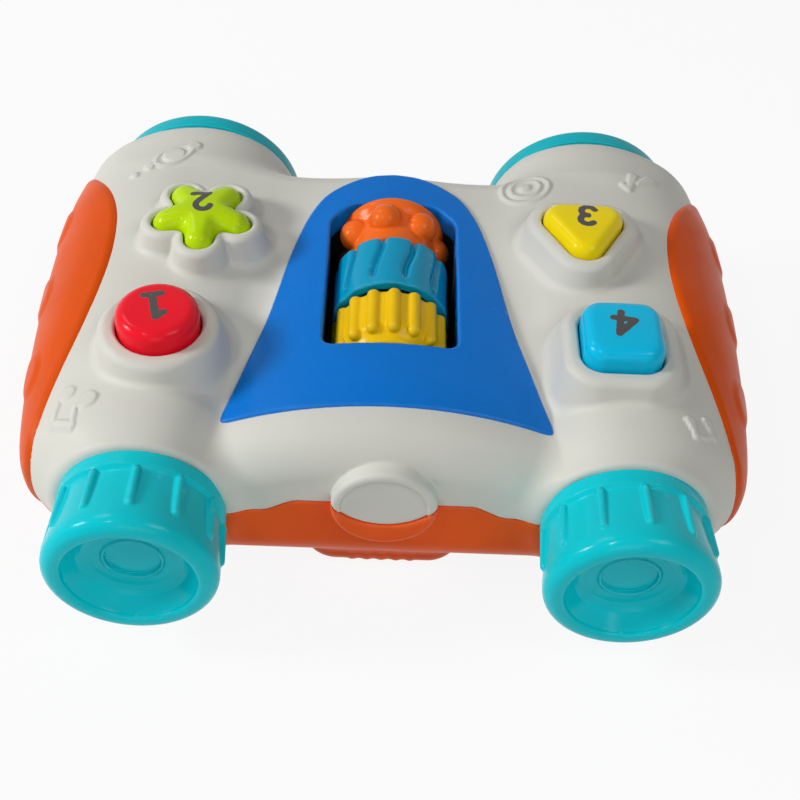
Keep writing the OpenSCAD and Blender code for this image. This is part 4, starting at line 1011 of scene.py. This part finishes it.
def surface(name, rgb, rough, spread=0.06, shade=0.08, grain=1500.0, depth=0.012, metal=0.0,
            wear=0.25):
    """Moulded or plated surface: cloudy colour, specks, worn edges, uneven gloss, fine grain."""
    colour = linear(*rgb)
    mat = bpy.data.materials.new(name)
    mat.use_nodes = True
    tree = mat.node_tree
    shader = tree.nodes["Principled BSDF"]
    coords = add(tree, "ShaderNodeTexCoord").outputs["Object"]
    cloud = ranged(tree, noise(tree, coords, CLOUD_SCALE, 4.0), 0.0, 1.0)
    base = mixed(tree, cloud, tint(colour, 1 - shade), tint(colour, 1 + shade * 0.6))
    speck = ranged(tree, noise(tree, coords, SPECK_SCALE, 2.0), 0.0, 0.35, 0.66, 0.8)
    base = mixed(tree, speck, base, tint(colour, 1 - 2.2 * shade))
    point = add(tree, "ShaderNodeNewGeometry").outputs["Pointiness"]
    edge = add(tree, "ShaderNodeMath", operation="MULTIPLY")
    tree.links.new(ranged(tree, point, 0.0, wear, 0.52, 0.6), edge.inputs[0])
    patchy = ranged(tree, noise(tree, coords, WEAR_SCALE, 3.0), 0.3, 1.0)
    tree.links.new(patchy, edge.inputs[1])
    pale = tuple(c + (1 - c) * 0.35 for c in colour[:3]) + (1.0,)
    base = mixed(tree, edge.outputs[0], base, pale)
    tree.links.new(base, shader.inputs["Base Color"])
    smear = noise(tree, coords, SMEAR_SCALE, 5.0, 0.65)
    tree.links.new(ranged(tree, smear, rough - spread, rough + spread),
                   shader.inputs["Roughness"])
    bump = add(tree, "ShaderNodeBump", {"Strength": 0.35, "Distance": depth * MM})
    tree.links.new(noise(tree, coords, grain, 2.0), bump.inputs["Height"])
    tree.links.new(bump.outputs["Normal"], shader.inputs["Normal"])
    shader.inputs["Metallic"].default_value = metal
    shader.inputs["Specular IOR Level"].default_value = METAL_GLOSS if metal else GLOSS
    return mat


LOOKS = {
    "white_shell": dict(rgb=(219, 218, 209), rough=0.42, spread=0.05, shade=0.025,
                        depth=0.02, wear=0.1),
    "orange_shell": dict(rgb=(244, 90, 8), rough=0.38, shade=0.06, depth=0.02),
    "orange_grip": dict(rgb=(224, 82, 0), rough=0.4, spread=0.07, shade=0.07,
                        grain=1100.0, depth=0.03),
    "orange_door": dict(rgb=(228, 84, 14), rough=0.38, shade=0.06, depth=0.02),
    "blue_plate": dict(rgb=(0, 120, 216), rough=0.26, shade=0.06),
    "dark_cradle": dict(rgb=(24, 24, 28), rough=0.55, shade=0.15, depth=0.03),
    "yellow_rib": dict(rgb=(247, 200, 0), rough=0.2, shade=0.05),
    "blue_lobe": dict(rgb=(0, 158, 200), rough=0.18, shade=0.05),
    "orange_ball": dict(rgb=(255, 112, 28), rough=0.2, shade=0.05),
    "red_cap": dict(rgb=(250, 20, 42), rough=0.17, shade=0.06),
    "lime_cap": dict(rgb=(194, 230, 0), rough=0.17, shade=0.05),
    "yellow_cap": dict(rgb=(255, 226, 8), rough=0.17, shade=0.05),
    "cyan_cap": dict(rgb=(0, 198, 242), rough=0.17, shade=0.05),
    "teal_cup": dict(rgb=(0, 206, 218), rough=0.17, shade=0.05),
    "teal_ring": dict(rgb=(0, 186, 200), rough=0.22, shade=0.05),
    "slider_black": dict(rgb=(88, 84, 84), rough=0.45, shade=0.1),
    "white_retainer": dict(rgb=(218, 218, 214), rough=0.45, shade=0.03),
    "dome_rubber": dict(rgb=(200, 200, 194), rough=0.6, shade=0.05),
    "board_green": dict(rgb=(22, 92, 48), rough=0.4, shade=0.12),
    "chip_black": dict(rgb=(26, 26, 27), rough=0.3, shade=0.15),
    "cone_paper": dict(rgb=(44, 44, 47), rough=0.85, shade=0.2, depth=0.06),
    "magnet_iron": dict(rgb=(72, 72, 76), rough=0.6, shade=0.2, depth=0.05, metal=0.4),
    "cell_wrap": dict(rgb=(52, 52, 58), rough=0.3, shade=0.1),
    "steel_screw": dict(rgb=(188, 189, 192), rough=0.3, shade=0.1, metal=1.0),
    "steel_axle": dict(rgb=(194, 194, 197), rough=0.22, metal=1.0),
    "speaker_steel": dict(rgb=(188, 188, 192), rough=0.35, shade=0.1, metal=1.0),
    "switch_steel": dict(rgb=(194, 194, 197), rough=0.35, shade=0.1, metal=1.0),
    "contact_nickel": dict(rgb=(216, 214, 210), rough=0.25, metal=1.0),
}
LOOK = {slot: surface(slot, **values) for slot, values in LOOKS.items()}


def lens_look():
    """Clear tinted plastic with faint swirl marks."""
    mat = surface("lens_clear", (150, 176, 190), 0.08, spread=0.04, shade=0.05, depth=0.004,
                  wear=0.0)
    shader = mat.node_tree.nodes["Principled BSDF"]
    shader.inputs["Transmission Weight"].default_value = 0.85
    shader.inputs["IOR"].default_value = 1.49
    return mat


LOOK["lens_clear"] = lens_look()

# Rollers and buttons: field and slot of each
ROLLERS = {"yellow": (yellow_roller, "yellow_rib"), "blue": (blue_roller, "blue_lobe"),
           "orange": (orange_roller, "orange_ball")}
CAP_SLOTS = {"red": "red_cap", "star": "lime_cap", "triangle": "yellow_cap",
             "square": "cyan_cap"}


def build():
    """Makes every visible outer piece; the boxes are in the casing frame, then the cell size."""
    upper = solid("upper_shell_skin", upper_shell, (-90.2, -4.6, -7.0), (90.2, 113.2, 32.0), 0.56)
    finish_piece(upper, "casing", "white_shell", "upper_shell")
    lower = solid("lower_shell_skin", lower_shell, (-90.2, -4.6, -28.2), (90.2, 113.2, 8.6), 0.64)
    finish_piece(lower, "casing", "orange_shell", "lower_shell")
    for side, sign in (("left", -1), ("right", 1)):
        lo, hi = sorted((sign * 60.0, sign * 91.5))
        pad = solid(side + "_grip_pad", grip_pad, (lo, 3.0, -21.0), (hi, 107.0, 26.5), 0.5)
        finish_piece(pad, "casing", "orange_grip", side + "_grip")
    plate = solid("face_plate_skin", face_plate, (-40.0, 9.0, 13.0), (40.0, 97.0, 27.4), 0.5)
    finish_piece(plate, "casing", "blue_plate", "face_plate")

    for name, (sdf, slot) in ROLLERS.items():
        mid = ROLLER_Y[name]
        roller = solid(name + "_roller_skin", sdf,
                       (-15.6, mid - 10.8, 0.2), (15.6, mid + 8.4, 31.2), 0.4)
        finish_piece(roller, name + "_roller", slot, name + "_roller")

    for kind, slot in CAP_SLOTS.items():
        cx, cy = BUTTONS[kind]
        cap = solid(kind + "_button_skin", button(kind),
                    (cx - 14.2, cy - 14.2, 13.6), (cx + 14.2, cy + 14.2, 35.6), 0.42)
        finish_piece(cap, kind + "_button", slot, kind + "_button")
        mark = solid(kind + "_button_number", numeral(kind),
                     (cx - 9, cy - 9, 29.5), (cx + 9, cy + 9, 35.4), 0.2)
        finish_piece(mark, kind + "_button", "slider_black")

    verts, faces, normals = surface_net(
        cup, (-CUP_X - 21, -22.5, -19.0), (-CUP_X + 21, 7.2, 23.0), 0.42 * COARSE)
    for side, sign in (("left", -1), ("right", 1)):
        turner = add_mesh(side + "_cup_skin", verts + [(sign + 1) * CUP_X, 0, 0], faces, normals)
        finish_piece(turner, side + "_cup", "teal_cup", side + "_front_cup")
        ring = lathe(side + "_eye_ring_skin", EYE_RING, sign * EYE_X)
        finish_piece(ring, "casing", "teal_ring", side + "_eye_ring")
        lens = lathe(side + "_eye_lens_skin", LENS, sign * EYE_X)
        finish_piece(lens, "casing", "lens_clear", side + "_eye_lens")

    door = solid("battery_door_skin", battery_door,
                 (-17.6, 15.2, -27.8), (17.6, 84.8, -23.2), 0.5)
    finish_piece(door, "casing", "orange_door", "battery_door")
    slider = solid("power_slider_skin", power_slider,
                   (34.5, 57.0, -22.0), (54.5, 66.4, -15.6), 0.3)
    finish_piece(slider, "power", "slider_black", "power_slider")


NODE_LOOKS = {
    "dark_cradle": ["roller_cradle"],
    "steel_axle": ["roller_axle"],
    "steel_screw": ["cradle_screws", "board_screws", "speaker_screws", "door_screw",
                    "left_cup_screw", "right_cup_screw", "shell_screws"],
    "dome_rubber": ["red_dome", "star_dome", "triangle_dome", "square_dome"],
    "board_green": ["circuit_board"],
    "chip_black": ["sound_chip"],
    "speaker_steel": ["speaker_frame"],
    "cone_paper": ["speaker_cone"],
    "magnet_iron": ["speaker_magnet"],
    "cell_wrap": ["cells"],
    "contact_nickel": ["contact_plates", "contact_springs"],
    "switch_steel": ["switch_lever", "slide_switch"],
    "white_retainer": ["left_cup_retainer", "right_cup_retainer"],
}


def dress_nodes():
    """Gives the CAD nodes that stay their materials."""
    for slot, nodes in NODE_LOOKS.items():
        for node in nodes:
            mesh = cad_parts[node].data
            mesh.materials.clear()
            mesh.materials.append(LOOK[slot])


def place_object(name, data, axes, origin):
    """Adds an object whose own axes and origin are given in the part frame, in metres."""
    obj = bpy.data.objects.new(name, data)
    m = Matrix.Identity(4)
    for col, axis in enumerate((*axes, origin)):
        for row in range(3):
            m[row][col] = axis[row]
    obj.matrix_world = m
    bpy.context.scene.collection.objects.link(obj)
    return obj


def turn_about(axis, degrees):
    """Rotation about one of the axes X, Y and Z."""
    c, s = math.cos(math.radians(degrees)), math.sin(math.radians(degrees))
    i, j = (axis + 1) % 3, (axis + 2) % 3
    m = np.eye(3)
    m[i, i], m[i, j], m[j, i], m[j, j] = c, -s, s, c
    return m


def add_camera():
    # Turn from the casing frame to the camera's, with Y down and Z ahead
    level = np.array([[1, 0, 0], [0, 0, -1], [0, 1, 0]])
    r = turn_about(2, ROLL) @ turn_about(0, PITCH) @ level @ turn_about(2, YAW)
    eye = (-r.T @ CAMERA_SHIFT + CASING_ORIGIN) * MM
    data = bpy.data.cameras.new("camera")
    data.sensor_width = SENSOR_MM
    data.lens = FOCAL_PX / IMAGE_PX * SENSOR_MM
    data.clip_start = NEAR_CLIP
    bpy.context.scene.camera = place_object("camera", data, (r[0], -r[1], -r[2]), eye)


def add_lamp(name, place, size, power):
    """A round lamp that faces the part."""
    data = bpy.data.lights.new(name, "AREA")
    data.shape = "DISK"
    data.size = size
    data.energy = power
    back = np.subtract(place, LAMP_TARGET)
    back = back / np.linalg.norm(back)
    right = np.cross((0, 0, 1), back)
    right /= np.linalg.norm(right)
    place_object(name, data, (right, np.cross(back, right), back), place)


def seen_rays(tree):
    """One where a ray comes from the camera, a mirror or glass."""
    path = add(tree, "ShaderNodeLightPath")
    total = path.outputs["Is Camera Ray"]
    for other in ("Is Glossy Ray", "Is Transmission Ray"):
        m = add(tree, "ShaderNodeMath", operation="MAXIMUM")
        tree.links.new(total, m.inputs[0])
        tree.links.new(path.outputs[other], m.inputs[1])
        total = m.outputs[0]
    return total


def floor_look():
    """Pale paper that shows white to the camera and keeps a soft shadow."""
    mat = bpy.data.materials.new("floor_paper")
    mat.use_nodes = True
    tree = mat.node_tree
    paper = tree.nodes["Principled BSDF"]
    paper.inputs["Base Color"].default_value = (FLOOR_GREY, FLOOR_GREY, FLOOR_GREY, 1.0)
    paper.inputs["Roughness"].default_value = FLOOR_ROUGH
    glow = add(tree, "ShaderNodeEmission", {"Strength": 1.0})
    mix = add(tree, "ShaderNodeMixShader")
    factor = ranged(tree, seen_rays(tree), 0.0, FLOOR_GLOW, 0.0, 1.0)
    tree.links.new(factor, mix.inputs["Fac"])
    tree.links.new(paper.outputs[0], mix.inputs[1])
    tree.links.new(glow.outputs[0], mix.inputs[2])
    tree.links.new(mix.outputs[0], tree.nodes["Material Output"].inputs["Surface"])
    return mat


def add_studio():
    """World, floor and lamps."""
    world = bpy.data.worlds.new("studio")
    world.use_nodes = True
    bpy.context.scene.world = world
    tree = world.node_tree
    back = tree.nodes["Background"]
    back.inputs["Color"].default_value = (1.0, 1.0, 1.0, 1.0)
    strength = ranged(tree, seen_rays(tree), WORLD_LEVEL, 1.0, 0.0, 1.0)
    tree.links.new(strength, back.inputs["Strength"])

    h = FLOOR_HALF
    mesh = bpy.data.meshes.new("floor")
    mesh.from_pydata([(-h, -h, 0), (h, -h, 0), (h, h, 0), (-h, h, 0)], [], [(0, 1, 2, 3)])
    floor = bpy.data.objects.new("floor", mesh)
    floor.location.z = -FLOOR_DROP
    bpy.context.scene.collection.objects.link(floor)
    mesh.materials.append(floor_look())

    for name, (place, size, power) in LAMPS.items():
        add_lamp(name, place, size, power)


bpy.context.scene.view_settings.view_transform = "Standard"
build()
dress_nodes()
add_camera()
add_studio()
bpy.context.view_layer.update()
